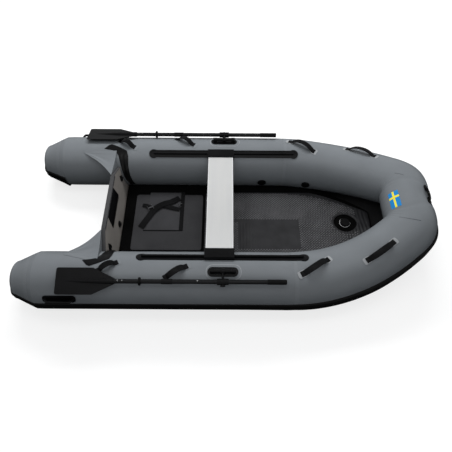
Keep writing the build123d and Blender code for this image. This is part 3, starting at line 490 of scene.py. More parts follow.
def glued_patch(name, size, corner, thickness, place, turn=0.0, lift=0.0, side=1,
                look="tube_fabric"):
    """A rounded patch glued on a tube, its place and turn given on the flat pattern."""
    piece = rounded_patch(name, *size, corner, thickness)
    turn_flat(piece, turn, *place)
    move_points(piece, lambda at: Vector((at.x, at.y, at.z + lift)))
    lay_on_tube(piece, side)
    dress(piece, "tube_fabric", look=look, angle=30)


sides = {"port": 1, "starboard": -1}

# %% [markdown]
# ## Tube skins
#
# An inflated tube is never a perfect cylinder. The fabric is cut in panels, and along a glued seam
# it is stiffer, so the tube draws in a little there and swells between. At the tight corners of the
# bow the inner side has too much cloth and puckers. So the skin is a finely divided panel, rolled
# into a tube, whose lift from the true surface is a small function of place.

# %% Shape of the skin
side_seam = 1.965
front_seam = bend_start + bend_run + corner_run - 0.012
seam_pull = 0.0014
seam_reach = 0.03
corner_middle = bend_start + bend_run + corner_run / 2
corner_reach = 0.16
corner_bulge = 0.012
bulge_ahead = 0.012
bulge_reach = 0.062
front_flatness = 0.012
front_reach = 0.06
crease_depth = 0.0022
crease_reach = 0.012
crease_slant = 0.2
skin_wander = 0.0008
pucker_depth = 0.0011
pucker_pitch = 0.034
girth_cells = 112


def valley(distance, reach):
    """A smooth dip, 1 at its middle."""
    return math.exp(-(distance / reach) ** 2)


def skin_lift(run, girth):
    """How far the inflated fabric stands off the true tube."""
    near = min(run, 2 * bow_middle - run)
    pull = sum(valley(near - seam, seam_reach) for seam in (cone_seam, side_seam))
    around = girth / tube_radius
    crease = valley(near - front_seam - crease_slant * girth, crease_reach)
    crease *= max(math.cos(around), 0) ** 2
    in_corner = valley(near - corner_middle, corner_reach)
    inner = max(-math.sin(around), 0) ** 2
    outer = max(math.sin(around), 0)
    mitre = (corner_bulge * valley(near - corner_middle - bulge_ahead, bulge_reach)
             - front_flatness * valley(near - bow_middle, front_reach)) * outer
    ripple = math.sin(2 * math.pi * near / pucker_pitch + 1.5 * math.sin(9 * girth))
    wander = noise.noise(Vector((run * 2.1, girth * 3.0, 0.4)))
    return (skin_wander * wander - seam_pull * pull - crease_depth * crease + mitre
            + pucker_depth * ripple * in_corner * inner)


def tube_skin(name, first, last, cells, side, *replaced):
    """One length of tube, rolled from a flat panel and closed along its underside."""
    piece = flat_panel(name, last - first, 2 * girth_half, cells, girth_cells)
    middle = (first + last) / 2
    move_points(piece, lambda at: Vector((at.x + middle, at.y, skin_lift(at.x + middle, at.y))))
    lay_on_tube(piece, side)
    edit_whole(piece, (bpy.ops.mesh.remove_doubles, {"threshold": 0.0002}))
    dress(piece, "tube_fabric", *replaced)


for side_name, side in sides.items():
    tube_skin(f"skin_{side_name}", cone_seam, side_seam, 96, side, f"tube_{side_name}")
tube_skin("skin_bow", side_seam, 2 * bow_middle - side_seam, 230, 1, "tube_bow")

# %% [markdown]
# ## Stern cones
#
# Each tube ends in a cone with a rounded tip. It starts as the circle of the tube's own end, which
# is pulled aft in rings, each smaller than the last, until the tip closes. The tip's rings follow
# a quarter of an ellipse, so that the end is full and not pointed.

# %% Cones
taper_rings = 7
dome_rings = 10
dome_closeness = 1.6


def cone_rings():
    """Run and radius of each ring, from the seam aft: even on the taper, closer on the tip."""
    rings = []
    for index in range(1, taper_rings + 1):
        run = cone_seam + (cone_shoulder - cone_seam) * index / taper_rings
        rings.append((run, cone_radius(run)))
    for index in range(1, dome_rings):
        run = cone_tip + (cone_shoulder - cone_tip) * (1 - index / dome_rings) ** dome_closeness
        rings.append((run, cone_radius(run)))
    return rings


def stern_cone(side_name, side):
    """The cone of one tube, from its seam ring to the closed tip."""
    deselect()
    bpy.ops.mesh.primitive_circle_add(vertices=girth_cells, radius=tube_radius - seam_pull,
                                      location=(stern_x + cone_seam, side * tube_offset,
                                                tube_radius), rotation=(0, math.pi / 2, 0))
    piece = made(f"cone_skin_{side_name}")
    settle(piece)
    bpy.ops.object.mode_set(mode="EDIT")
    bpy.ops.mesh.select_all(action="SELECT")
    place, size = cone_seam, tube_radius - seam_pull
    for next_place, next_size in cone_rings():
        bpy.ops.mesh.extrude_region_move(
            TRANSFORM_OT_translate={"value": (next_place - place, 0, 0)})
        bpy.ops.transform.resize(value=(next_size / size,) * 3)
        place, size = next_place, next_size
    bpy.ops.mesh.extrude_region_move(
        TRANSFORM_OT_translate={"value": (cone_tip - place, 0, 0)})
    bpy.ops.mesh.merge(type="CENTER")
    bpy.ops.mesh.select_all(action="SELECT")
    bpy.ops.mesh.normals_make_consistent(inside=False)
    bpy.ops.object.mode_set(mode="OBJECT")
    dress(piece, "tube_fabric", f"cone_{side_name}")


for side_name, side in sides.items():
    stern_cone(side_name, side)

# %% [markdown]
# ## Seam tapes
#
# Where two panels meet, a tape of the same fabric is glued over the joint. It is under a millimetre
# thick, but its edge catches the light as a fine line, which is what makes a tube look made of
# fabric. The tape is coloured a little lighter than the tube, a painted highlight for that line of
# light. A tape is a narrow panel that goes all the way round.

# %% Seams
tape_width = 0.024
tape_thickness = 0.0007
tape_lift = 0.0002
cone_tape_run = 0.165


def ring_tape(name, run, side):
    """A tape all round the tube at a run."""
    piece = flat_panel(name, tape_width, 2 * girth_half, 6, girth_cells)
    move_points(piece, lambda at: Vector((
        at.x + run, at.y, skin_lift(at.x + run, at.y) + tape_lift)))
    thicken(piece, tape_thickness)
    lay_on_tube(piece, side)
    dress(piece, "tube_fabric", look="seam_fabric", angle=30)


for side_name, side in sides.items():
    ring_tape(f"side_seam_{side_name}", side_seam, side)
    ring_tape(f"cone_seam_{side_name}", cone_tape_run, side)

# %% [markdown]
# ## Carry handles
#
# A carry handle is a length of webbing whose ends are glued under two patches, so that its middle
# stands up in an arch that a hand fits under. Each end is given as a run and an angle in degrees
# from the tube's top. The strap is a narrow panel between them, lifted along a rounded arch, then
# thickened.

# %% Carry handles
strap_width = 0.038
strap_thickness = 0.0026
strap_rise = 0.034
strap_tail = 0.024
arch_span_power, arch_rise_power = 2.3, 0.9
strap_gap = 0.0022
strap_crown = 0.0012
patch_size = (0.06, 0.05)
patch_corner = 0.012
patch_thickness = 0.0012
patch_shift = 0.014
patch_lift = 0.0006
handle_ends = {
    "aft": ((0.662, 10), (0.758, -5)),
    "side": ((1.11, 22), (1.225, 3)),
    "bend": ((2.0145, 15), (2.1905, -6)),
    "bow": ((2.478, 19), (2.67, 13)),
}
# The patches take lighter copies of the tube fabric: painted highlight on them.
patch_looks = {"aft": "seam_fabric", "side": "seam_fabric", "bend": "patch_fabric",
               "bow": "patch_fabric"}


def handle(name, ends, side, patch_look):
    """One carry handle: its strap and the two patches at its ends."""
    feet = [Vector((run, math.radians(angle) * tube_radius, 0)) for run, angle in ends]
    chord = feet[1] - feet[0]
    span = chord.length
    angle = math.atan2(chord.y, chord.x)
    middle = (feet[0] + feet[1]) / 2
    strap = flat_panel(f"handle_{name}", span + 2 * strap_tail, strap_width, 40, 4)

    def arch(at):
        share = clamp(abs(at.x) / (span / 2))
        crown = strap_crown * math.cos(math.pi * at.y / strap_width)
        rise = strap_rise * (1 - share ** arch_span_power) ** arch_rise_power
        return Vector((at.x, at.y, strap_gap + rise + crown * (1 - share)))

    move_points(strap, arch)
    thicken(strap, strap_thickness)
    soften(strap, 0.0007)
    turn_flat(strap, angle, middle.x, middle.y)
    lay_on_tube(strap, side)
    dress(strap, "webbing")
    for index, foot in enumerate(feet):
        shift = patch_shift if index else -patch_shift
        glued_patch(f"handle_patch_{name}_{index}", patch_size, patch_corner, patch_thickness,
                    (foot.x + shift * math.cos(angle), foot.y + shift * math.sin(angle)), angle,
                    patch_lift, side, patch_look)
    return strap


for side_name, side in sides.items():
    straps = [handle(f"{name}_{side_name}", ends, side, patch_looks[name])
              for name, ends in handle_ends.items()]
    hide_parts(f"carry_handles_{side_name}")

# %% [markdown]
# ## Gussets behind the transom
#
# A triangle of fabric ties each top corner of the transom to the tube behind it. One edge is glued
# on the tube, the front edge runs along the board, and the free edge is pulled tight and curves in.
# A taut triangle with two fixed edges shows fine folds that fan out from its corners.

# %% Gussets
trim_low, trim_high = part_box("transom_trim")
gusset_head = Vector((trim_low.x + 0.002, trim_high.y + 0.004, trim_high.z - 0.004))
gusset_tails = {"port": (0.378, -0.076), "starboard": (0.395, -0.128)}
gusset_root = (0.636, -0.05)
gusset_foot_girth = -0.187
gusset_glue = 0.028
gusset_web = 0.25
gusset_lift = 0.0012
gusset_bow = Vector((0.012, 0.016, -0.004))
gusset_fold = 0.0022
gusset_sag = 0.009


def gusset_point(along, across, tail, seed):
    """A point of the port gusset: along from tail to transom, across from the tube to the edge.

    Past the transom, where along is over 1, the cloth folds down on the back of the board.
    """
    folded = max(along - 1, 0) / gusset_web
    along = min(along, 1)
    run = tail[0] + (gusset_root[0] - tail[0]) * along
    girth = tail[1] + (gusset_root[1] - tail[1]) * along
    girth += (gusset_foot_girth - gusset_root[1]) * folded
    if across <= 0:
        return on_skin(run, girth - gusset_glue * across, gusset_lift)
    rooted = on_skin(run, girth, gusset_lift)
    free = on_skin(*tail, gusset_lift).lerp(gusset_head, along)
    free += gusset_bow * math.sin(math.pi * along)
    point = rooted.lerp(free, across)
    middle = 4 * across * (1 - across)
    fan = math.sin(seed + 11 * across * (1.2 - 0.6 * along)) + 0.5 * math.sin(seed + 19 * across)
    point.z += gusset_fold * fan * middle * math.sin(math.pi * along)
    point.z -= gusset_sag * math.sin(math.pi * across) * along * (1 - folded)
    return point


def gusset(side_name, side, seed):
    """The curved gusset of one side."""
    reach = 1 + gusset_web
    piece = flat_panel(f"gusset_{side_name}", reach, 2, 50, 48)
    tail = gusset_tails[side_name]
    move_points(piece, lambda at: gusset_point(at.x + reach / 2, at.y, tail, seed))
    piece.data.flip_normals()
    to_side(piece, side)
    thicken(piece, 0.0011, 0)
    dress(piece, "tube_fabric", f"transom_gusset_{side_name}")


gusset("port", 1, 0.4)
gusset("starboard", -1, 2.1)

# %% [markdown]
# ## Holder flaps
#
# A black flap is glued on the tube beside the transom. Its arm runs aft along the top of the tube,
# and its band goes down the inner side, where the loose fabric lies in long soft folds. It is drawn
# as a flat outline, cut by a grid, lifted into folds along the band and then laid on the tube.

# %% Holder flaps
holder_step = 0.006
holder_lift = 0.0012
holder_ridge = 0.007
holder_outline = [(0.536, -0.043), (0.572, -0.004), (0.592, 0.004), (0.652, -0.022),
                  (0.716, -0.058), (0.728, -0.1), (0.727, -0.17), (0.735, -0.26), (0.76, -0.375),
                  (0.722, -0.375), (0.697, -0.3), (0.68, -0.22), (0.664, -0.15), (0.652, -0.098),
                  (0.628, -0.062), (0.59, -0.052)]


def outline_sheet(name, outline):
    """A flat sheet from an outline, facing up."""
    deselect()
    bpy.ops.mesh.primitive_circle_add(vertices=len(outline), fill_type="NGON")
    piece = made(name)
    for point, (x, y) in zip(piece.data.vertices, outline):
        point.co = (x, y, 0)
    edit_whole(piece, (bpy.ops.mesh.normals_make_consistent, {"inside": False}))
    if piece.data.polygons[0].normal.z < 0:
        piece.data.flip_normals()
    return piece


def holder_fold(at):
    """Lift of the flap: flat on top of the tube, two long folds down its inner side."""
    down = clamp((-at.y - 0.05) / 0.12)
    across = at.x - (0.69 + 0.09 * max(-at.y - 0.1, 0))
    ridge = valley(across - 0.012, 0.009) + 0.7 * valley(across + 0.02, 0.008)
    return Vector((at.x, at.y, at.z + holder_lift + holder_ridge * ridge * down))


for side_name, side in sides.items():
    flap = outline_sheet(f"holder_{side_name}", holder_outline)
    for axis, spots in enumerate(zip(*holder_outline)):
        low, high = min(spots), max(spots)
        edit_whole(flap, *cuts_at(axis, [low + index * holder_step for index in
                                         range(1, int((high - low) / holder_step) + 1)]))
    thicken(flap, 0.0014)
    move_points(flap, holder_fold)
    lay_on_tube(flap, side)
    dress(flap, "black_fabric", f"transom_holder_{side_name}", angle=60)

# %% [markdown]
# ## Rubbing strake
#
# The strake is one long ribbed rubber strip, glued round the whole hull at the height where it
# meets a quay. Its ribs are what shows: they catch thin lines of light along the bow. The strip is
# a narrow panel with its section pressed in as a row of heights, wrapped on both tubes at once.

# %% Strake
strake_section = [(84.5, -0.0005), (86, 0.0055), (89.5, 0.009), (93, 0.0065), (97, 0.006),
                  (100.5, 0.0098), (104, 0.0068), (108, 0.0065), (111.5, 0.0105), (115, 0.0072),
                  (119, 0.007), (123, 0.0112), (127, 0.0095), (131, 0.005), (132.5, -0.0005)]
strake_bow_share = 1.2
strake_bow_drop = 0.014
strake_swell_run = 0.6
strake_peak = 0.011
strake_skin = 0.0015
strake_cells = 500
strake_rows = len(strake_section) * 2 - 2


def section_at(share):
    """Angle on the tube, in radians, and height of the strake's section at a share of its width."""
    place = share * (len(strake_section) - 1)
    index = min(int(place), len(strake_section) - 2)
    part = place - index
    angle, lift = (low + (high - low) * part for low, high in
                   zip(strake_section[index], strake_section[index + 1]))
    return math.radians(angle), lift


def strake_point(at):
    """Flat strip to strake: X is the run, Y the place in the section."""
    angle, lift = section_at(at.y + 0.5)
    run = bow_middle + at.x * 2 * (bow_middle - cone_seam)
    near = min(run, 2 * bow_middle - run)
    swell = clamp((near - bend_start) / strake_swell_run)
    girth = angle * tube_radius
    point = on_skin(run, girth, skin_lift(run, girth) + lift * (1 + strake_bow_share * swell))
    point.z -= strake_bow_drop * swell * max(lift, 0) / strake_peak
    return point


strake = flat_panel("rubbing_strake", 1, 1, strake_cells, strake_rows)
move_points(strake, strake_point)
thicken(strake, strake_skin, -1)
dress(strake, "strake_rubber", "strake_bow", "strake_port", "strake_starboard", angle=50)

# %% [markdown]
# At the stern the strake goes level round the tip of each cone to its inner side. A level band on
# a cone isn't a ring, so each point is found from its height and its offset to the side: the two
# give a distance from the axis, and the cone has that radius at one run only.

# %% Strake round the cones
slope_step = 0.002


def run_of_radius(radius):
    """The run where the cone has a radius, by halving."""
    low, high = cone_tip, cone_seam
    for _ in range(30):
        middle = (low + high) / 2
        low, high = (middle, high) if cone_radius(middle) < radius else (low, middle)
    return (low + high) / 2


def cone_band_point(at):
    """Flat strip to the band round the port cone: X from inboard to outboard, Y in the section."""
    angle, lift = section_at(at.y + 0.5)
    height = tube_radius * math.cos(angle)
    edge = math.sqrt(tube_radius ** 2 - height ** 2)
    aside = edge * math.sin(math.pi * at.x)
    radius = math.hypot(aside, height)
    run = run_of_radius(radius)
    slope = (cone_radius(run + slope_step) - cone_radius(run - slope_step)) / (2 * slope_step)
    normal = Vector((-slope, aside / radius, height / radius)).normalized()
    return Vector((run + stern_x, tube_offset + aside, tube_radius + height)) + normal * lift


for side_name, side in sides.items():
    band = flat_panel(f"cone_strake_{side_name}", 1, 1, 150, strake_rows)
    move_points(band, cone_band_point)
    to_side(band, side)
    thicken(band, strake_skin, -1)
    dress(band, "strake_rubber", f"strake_cone_{side_name}", angle=50)

# %% [markdown]
# ## Bench
#
# The bench is an aluminium plank that drops into two black end caps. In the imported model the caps
# lap far over the plank. Here the cap's lip is narrower, as on the real one: the points of the lip
# and of the plank's step are moved outboard together.

# %% Bench
lip_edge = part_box("bench_cap_port")[0].y
lip_shift = 0.0275
lip_reach = 0.006


def node_copy(name, node):
    """A merged copy of a CAD node's mesh, as a start for a shape of its own."""
    piece = bpy.data.objects.new(name, cad_nodes[node].data.copy())
    bpy.context.collection.objects.link(piece)
    piece.data.name = name
    edit_whole(piece, (bpy.ops.mesh.remove_doubles, {"threshold": 0.00005}),
               (bpy.ops.mesh.dissolve_limited, {"angle_limit": math.radians(1)}))
    return piece


def lip_moved(at):
    """Points near the lip's edge move outboard."""
    if abs(abs(at.y) - lip_edge) > lip_reach:
        return at
    return Vector((at.x, math.copysign(abs(at.y) + lip_shift, at.y), at.z))


for name, node, slot_name in (("bench_top", "bench_plank", "bench_aluminium"),
                              ("bench_end_port", "bench_cap_port", "black_plastic"),
                              ("bench_end_starboard", "bench_cap_starboard", "black_plastic")):
    piece = node_copy(name, node)
    move_points(piece, lip_moved)
    soften(piece, 0.0016, angle=60)
    dress(piece, slot_name, node, body="bench")

# %% Bench edges
plank_low, plank_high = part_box("bench_plank")
lip_width = 0.0045
lip_height = 0.0016
lip_sink = 0.0002
lip_end_gap = 0.002
# Thin lips along the plank's aft and fore edges, in a near-white tone: a painted highlight for the
# edges that catch the light.
for name, x in (("aft", plank_low.x + lip_width), ("fore", plank_high.x - lip_width)):
    deselect()
    bpy.ops.mesh.primitive_cube_add(
        size=1, location=(x, 0, plank_high.z + lip_height / 2 - lip_sink))
    lip = made(f"bench_edge_{name}")
    lip.scale = (lip_width, 2 * (lip_edge + lip_shift - lip_end_gap), lip_height)
    settle(lip)
    soften(lip, 0.0006)
    dress(lip, "bench_aluminium", look="edge_painted_highlight", body="bench")

# %% [markdown]
# ## Fore pad
#
# Forward of the bench lies a rubber mat with diamond studs for grip. Toward the bow its surface
# turns into soft cross ribs, and on the starboard side a rectangle is left plain. One stud is
# modelled and arrayed over the whole mat, and studs are then deleted where the mat is plain.

# %% Fore pad
pad_low, pad_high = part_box("floor_pad_fore")
pad_top = pad_high.z
pad_inset = tube_offset - pad_high.y
pad_edge = []
pad_edge_start = 1.3
pad_edge_steps = 140
for step in range(pad_edge_steps + 1):
    run = pad_edge_start + (bow_middle - pad_edge_start) * step / pad_edge_steps
    middle, outward, ahead, radius = tube_line(run)
    pad_edge.append((middle.x - outward.x * pad_inset, middle.y - outward.y * pad_inset))
valve_low, valve_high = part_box("floor_valve")
well_x = (valve_low.x + valve_high.x) / 2
well_y = (valve_low.y + valve_high.y) / 2
well_radius = 0.085
well_rim = 0.012
well_rim_height = 0.003
plain_mat = ((0.21, 0.56), (-0.25, -0.012))
mat_cut_pitch = (0.0058, 0.014)
top_skin = 0.0005
rib_pitch = 0.023
rib_height = 0.0042
rib_wander = 0.012
rib_bow = 0.02
dip_depth = 0.006
dip_level = 0.45
groove_span = (0.09, 0.205)
groove_pitch = 0.024
groove_depth = 0.0022
ridge_side = 0.009
ridge_reach = 0.008
ridge_height = 0.0035
crinkle_place = (0.99, 0.11)
crinkle_height = 0.0035


def pad_half_width(x):
    """Half width of the fore pad at a station."""
    if x < pad_edge[0][0]:
        return pad_edge[0][1]
    for (x_a, y_a), (x_b, y_b) in zip(pad_edge, pad_edge[1:]):
        if x_a <= x <= x_b:
            return y_a + (y_b - y_a) * (x - x_a) / max(x_b - x_a, 1e-9)
    return 0


def pad_relief(x, y):
    """Height of the mat's large relief: ribs, grooves, the long ridge and the well's rim."""
    wander = noise.noise(Vector((x * 5, y * 5, 0.7)))
    forward_share = clamp((x - 0.5) / 0.3)
    rib = abs(math.sin(math.pi * (x + rib_wander * wander + rib_bow * math.sin(5 * y)) / rib_pitch))
    relief = rib_height * forward_share * (rib - 0.5)
    near_side = clamp((-y - 0.02) / 0.05) * clamp((x - 0.8) / 0.06)
    relief -= dip_depth * near_side * max(dip_level - rib, 0) / dip_level
    if groove_span[0] < x < groove_span[1] and y < plain_mat[1][1]:
        relief -= groove_depth * (0.5 + 0.5 * math.cos(2 * math.pi * x / groove_pitch))
    ridge_fade = clamp((plain_mat[0][1] - x) / 0.02)
    relief += ridge_height * valley(y - ridge_side, ridge_reach) * ridge_fade
    from_well = math.hypot(x - well_x, y - well_y)
    relief += well_rim_height * valley(from_well - well_radius - well_rim, well_rim)
    crinkle = noise.noise(Vector((x * 40, y * 40, 2.0)))
    far_side = valley(x - crinkle_place[0], 0.07) * valley(y - crinkle_place[1], 0.06)
    return relief + crinkle_height * crinkle * far_side


fore_pad = node_copy("mat_fore", "floor_pad_fore")
for axis, pitch in enumerate(mat_cut_pitch):
    low, high = pad_low[axis], pad_high[axis]
    edit_whole(fore_pad, *cuts_at(axis, [low + pitch * index
                                         for index in range(1, int((high - low) / pitch))]))
move_points(fore_pad, lambda at: Vector((at.x, at.y, at.z + (
    pad_relief(at.x, at.y) if at.z > pad_top - top_skin else 0))))
mat_reach = 0.03
mat_stretch_start = 0.98
far_share = 0.9


def far_edge_in(at):
    """The mat lies a little nearer the starboard tube, and its tip reaches forward."""
    stretch = max(at.x - mat_stretch_start, 0) / (pad_high.x - mat_stretch_start)
    return Vector((at.x + mat_reach * stretch, at.y * far_share if at.y > 0 else at.y, at.z))


move_points(fore_pad, far_edge_in)
dress(fore_pad, "foam_pad", "floor_pad_fore", look="mat_rubber")

# %% Studs
stud_pitch = 0.021
stud_height = 0.003
stud_reach = 0.0072
stud_inset = 0.008
stud_sink = 0.0002
stud_end = 1.0
stud_edge_gap = 0.012
stud_well_gap = 0.02
stud_ridge_gap = 0.016
plain_gaps = (0.12, 0.03)
deselect()
bpy.ops.mesh.primitive_cone_add(vertices=4, radius1=stud_reach, radius2=0, depth=stud_height,
                                end_fill_type="NOTHING",
                                location=(pad_low.x + stud_inset, pad_low.y + stud_inset,
                                          pad_top + stud_height / 2))
studs = made("painted_highlight_studs")
settle(studs)
stud_points = len(studs.data.vertices)
columns = int((pad_high.x - pad_low.x) / stud_pitch)
rows = int((pad_high.y - pad_low.y) / stud_pitch)
for count, offset in ((columns, (stud_pitch, 0, 0)), (rows, (0, stud_pitch, 0)),
                      (2, (stud_pitch / 2, stud_pitch / 2, 0))):
    apply_modifier(studs, "ARRAY", count=count, use_relative_offset=False,
                   use_constant_offset=True, constant_offset_displace=offset)


def stud_here(x, y):
    """True where the mat has studs."""
    (plain_aft, plain_fore), (plain_near, plain_far) = plain_mat
    if plain_aft - plain_gaps[0] < x < plain_fore and plain_near < y < plain_far + plain_gaps[1]:
        return False
    if abs(y - ridge_side) < stud_ridge_gap and x < plain_fore:
        return False
    if math.hypot(x - well_x, y - well_y) < well_radius + stud_well_gap or x > stud_end:
        return False
    return abs(y) < pad_half_width(x) - stud_edge_gap


bpy.ops.object.mode_set(mode="EDIT")
bpy.ops.mesh.select_all(action="DESELECT")
bpy.ops.object.mode_set(mode="OBJECT")
points = studs.data.vertices
for first in range(0, len(points), stud_points):
    group = range(first, first + stud_points)
    centre = sum((points[index].co for index in group), Vector()) / stud_points
    keep = stud_here(centre.x, centre.y)
    for index in group:
        points[index].select = not keep
        points[index].co.z += pad_relief(centre.x, centre.y) - stud_sink
bpy.ops.object.mode_set(mode="EDIT")
bpy.ops.mesh.delete(type="VERT")
bpy.ops.object.mode_set(mode="OBJECT")
move_points(studs, far_edge_in)
# The studs take a lighter tone than the mat rubber: a painted highlight on their faces.
dress(studs, "foam_pad", look="painted_highlight_stud", angle=20)

# %% [markdown]
# ## Aft pad, pouch and strap
#
# Behind the bench is a smooth foam pad, and on it a flat pouch with a wide webbing strap that holds
# a fuel tank. The pad gets rounded edges and a surface that is not quite level. The strap is a
# straight panel of webbing that is then led along a curved line over the pouch.

# %% Aft pad
aft_low, aft_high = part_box("floor_pad_aft")
aft_pad = rounded_patch("mat_aft", aft_high.x - aft_low.x, aft_high.y - aft_low.y, 0.018, 0)
move_points(aft_pad, lambda at: Vector((
    at.x + (aft_low.x + aft_high.x) / 2, at.y,
    aft_low.z + 0.0008 * noise.noise(Vector((at.x * 7, at.y * 7, 3.1))))))
thicken(aft_pad, aft_high.z - aft_low.z)
soften(aft_pad, 0.002, angle=60)
dress(aft_pad, "foam_pad", "floor_pad_aft")

# %% Pouch
pouch_low, pouch_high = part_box("floor_pouch")
pouch_size = Vector((pouch_high.x - pouch_low.x, pouch_high.y - pouch_low.y))
pouch_lift = 0.001
pouch_rise = 0.0042
pouch_fold = 0.0032
pouch = flat_panel("floor_pouch_cloth", pouch_size.x, pouch_size.y, 40, 56)


def pouch_point(at):
    """The pouch lies on the pad and stands up a little in the middle, with a few soft folds."""
    share_x, share_y = 2 * at.x / pouch_size.x, 2 * at.y / pouch_size.y
    dome = max(1 - share_x ** 2, 0) ** 0.6 * max(1 - share_y ** 2, 0) ** 0.6
    folds = noise.noise(Vector((at.x * 16 + at.y * 9, at.y * 14 - at.x * 9, 1.3)))
    return Vector((at.x + (pouch_low.x + pouch_high.x) / 2, at.y + (pouch_low.y + pouch_high.y) / 2,
                   aft_high.z + pouch_lift + dome * (pouch_rise + pouch_fold * folds)))


move_points(pouch, pouch_point)
thicken(pouch, 0.001)
dress(pouch, "floor_fabric", "floor_pouch", look="pouch_cloth", angle=60)


def smooth_route(points, share):
    """A point and its direction on a smooth line through points, share from 0 to 1."""
    place = min(share, 0.99999) * (len(points) - 1)
    index = int(place)
    t = place - index
    before, here = Vector(points[max(index - 1, 0)]), Vector(points[index])
    there, after = Vector(points[index + 1]), Vector(points[min(index + 2, len(points) - 1)])
    square = 2 * before - 5 * here + 4 * there - after
    cube = 3 * here - before - 3 * there + after
    spot = 0.5 * (2 * here + (there - before) * t + square * t ** 2 + cube * t ** 3)
    pace = 0.5 * ((there - before) + 2 * square * t + 3 * cube * t ** 2)
    return spot, pace.normalized()


strap_rest = pouch_high.z


def led_strap(name, width, thickness, route, *replaced):
    """A strap led along a route, flat side up. A route's heights are measured from the pouch."""
    points = [(x, y, strap_rest + height) for x, y, height in route]
    length = sum((Vector(b) - Vector(a)).length for a, b in zip(points, points[1:]))
    strap = flat_panel(name, length, width, 48, 4)

    def led(at):
        spot, pace = smooth_route(points, at.x / length + 0.5)
        across = Vector((0, 0, 1)).cross(pace).normalized()
        return spot + across * at.y + pace.cross(across) * at.z

    move_points(strap, led)
    thicken(strap, thickness)
    soften(strap, 0.0005, 1)
    dress(strap, "webbing", *replaced)


led_strap("tank_strap_main", 0.05, 0.0024,
          [(-0.66, -0.062, 0.0015), (-0.615, 0.02, 0.007), (-0.562, 0.108, 0.013),
           (-0.502, 0.152, 0.016), (-0.44, 0.178, 0.013), (-0.378, 0.222, 0.004)], "tank_strap")
led_strap("tank_strap_branch", 0.036, 0.0022,
          [(-0.5, 0.142, 0.012), (-0.46, 0.13, 0.013), (-0.42, 0.118, 0.011),
           (-0.37, 0.108, 0.004)])
led_strap("tank_strap_tail", 0.03, 0.002,
          [(-0.59, 0.12, 0.011), (-0.63, 0.142, 0.009), (-0.665, 0.15, 0.005)])
led_strap("pouch_band", 0.03, 0.0028,
          [(-0.352, -0.088, 0.0006), (-0.352, 0.1, 0.0016), (-0.352, 0.282, 0.0006)])
led_strap("pouch_welt", 0.006, 0.0026,
          [(-0.64, -0.0865, 0), (-0.5, -0.0865, 0.0004), (-0.36, -0.0865, 0)])

# %% [markdown]
# Two ladder buckles join the straps. Each is a plate of three faces, all inset, and the two outer
# insets are deleted to make the slots. They lie half across the strap, as the loose end was left.

# %% Buckle


def ladder_buckle(name, place, turn, length, width):
    """A flat buckle with two slots, lying on the strap."""
    deselect()
    bpy.ops.mesh.primitive_grid_add(x_subdivisions=1, y_subdivisions=3, size=1)
    buckle = made(name)
    buckle.scale = (length, width, 1)
    settle(buckle)
    bpy.ops.object.mode_set(mode="EDIT")
    bpy.ops.mesh.select_all(action="SELECT")
    bpy.ops.mesh.inset(thickness=0.0035, use_individual=True)
    bpy.ops.mesh.select_all(action="DESELECT")
    bpy.ops.object.mode_set(mode="OBJECT")
    for face in buckle.data.polygons:
        face.select = abs(face.center.x) < length * 0.1 and abs(face.center.y) > width * 0.1
    bpy.context.tool_settings.mesh_select_mode = (False, False, True)
    bpy.ops.object.mode_set(mode="EDIT")
    bpy.ops.mesh.delete(type="FACE")
    bpy.ops.object.mode_set(mode="OBJECT")
    bpy.context.tool_settings.mesh_select_mode = (True, False, False)
    thicken(buckle, 0.0036)
    soften(buckle, 0.0008)
    buckle.rotation_euler = (0, 0, math.radians(turn))
    buckle.location = place
    settle(buckle)
    dress(buckle, "black_plastic", look="grey_plastic")


ladder_buckle("tank_buckle", (-0.6, 0.118, strap_rest + 0.0165), 28, 0.044, 0.052)
ladder_buckle("tank_buckle_small", (-0.372, 0.15, strap_rest + 0.011), 75, 0.03, 0.036)

# %% [markdown]
# ## Rowlock patches
#
# Under each rowlock pad a larger patch of tube fabric spreads the pull of the oar over the skin.
# It lies on a second one that is a little wider and much lighter, so that its edge draws a thin
# light
# outline: a painted highlight along the patch's edge.

# %% Rowlock patches
rowlock_low, rowlock_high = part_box("rowlock_base_port")
rowlock_run = (rowlock_low.x + rowlock_high.x) / 2 - stern_x
rowlock_girth = math.radians(12) * tube_radius
rowlock_patch = (0.236, 0.108)
rowlock_corner = 0.048
for side_name, side in sides.items():
    for name, inset, lift, look in (("rim", 0, 0.0004, "patch_fabric"),
                                    ("patch", 0.004, 0.0012, "tube_fabric")):
        glued_patch(f"rowlock_{name}_{side_name}", [size - 2 * inset for size in rowlock_patch],
                    rowlock_corner - inset, patch_thickness, (rowlock_run + 0.005, rowlock_girth),
                    0, lift, side, look)

# %% [markdown]
# ## Creases and the bottom seam
#
# Where the front panel meets the side panels, a fine dark strip lies along the glued edge on top of
# the bow: painted shade of the crease there. Under the bow, a round rubber bead closes the joint
# between the fabric bottom and the tube.

# %% Creases and bead
crease_lines = {"starboard": ((2.86, -0.1), (2.894, 0.052)), "port": ((2.9, -0.074), (2.95, -0.04))}
crease_width = 0.0026
crease_wave = 0.003
crease_lift = 0.0006
for side_name, (start, end) in crease_lines.items():
    chord = Vector(end) - Vector(start)
    line = flat_panel(f"crease_{side_name}", chord.length, crease_width, 24, 2)
    turn_flat(line, math.atan2(chord.y, chord.x), (start[0] + end[0]) / 2, (start[1] + end[1]) / 2)
    move_points(line, lambda at: Vector((at.x, at.y + crease_wave * math.sin(60 * at.x),
                                         at.z + skin_lift(at.x, at.y) + crease_lift)))
    thicken(line, 0.0008, -1)
    lay_on_tube(line, sides[side_name])
    dress(line, "tube_fabric", look="crease_fabric")

bead_first = 2.3
bead_angle = -152
bead_half_angle = 5.5
bead_rise = 0.0125
bead_sink = 0.001
bead = flat_panel("bottom_bead", 2 * (bow_middle - bead_first), 1, 160, 10)


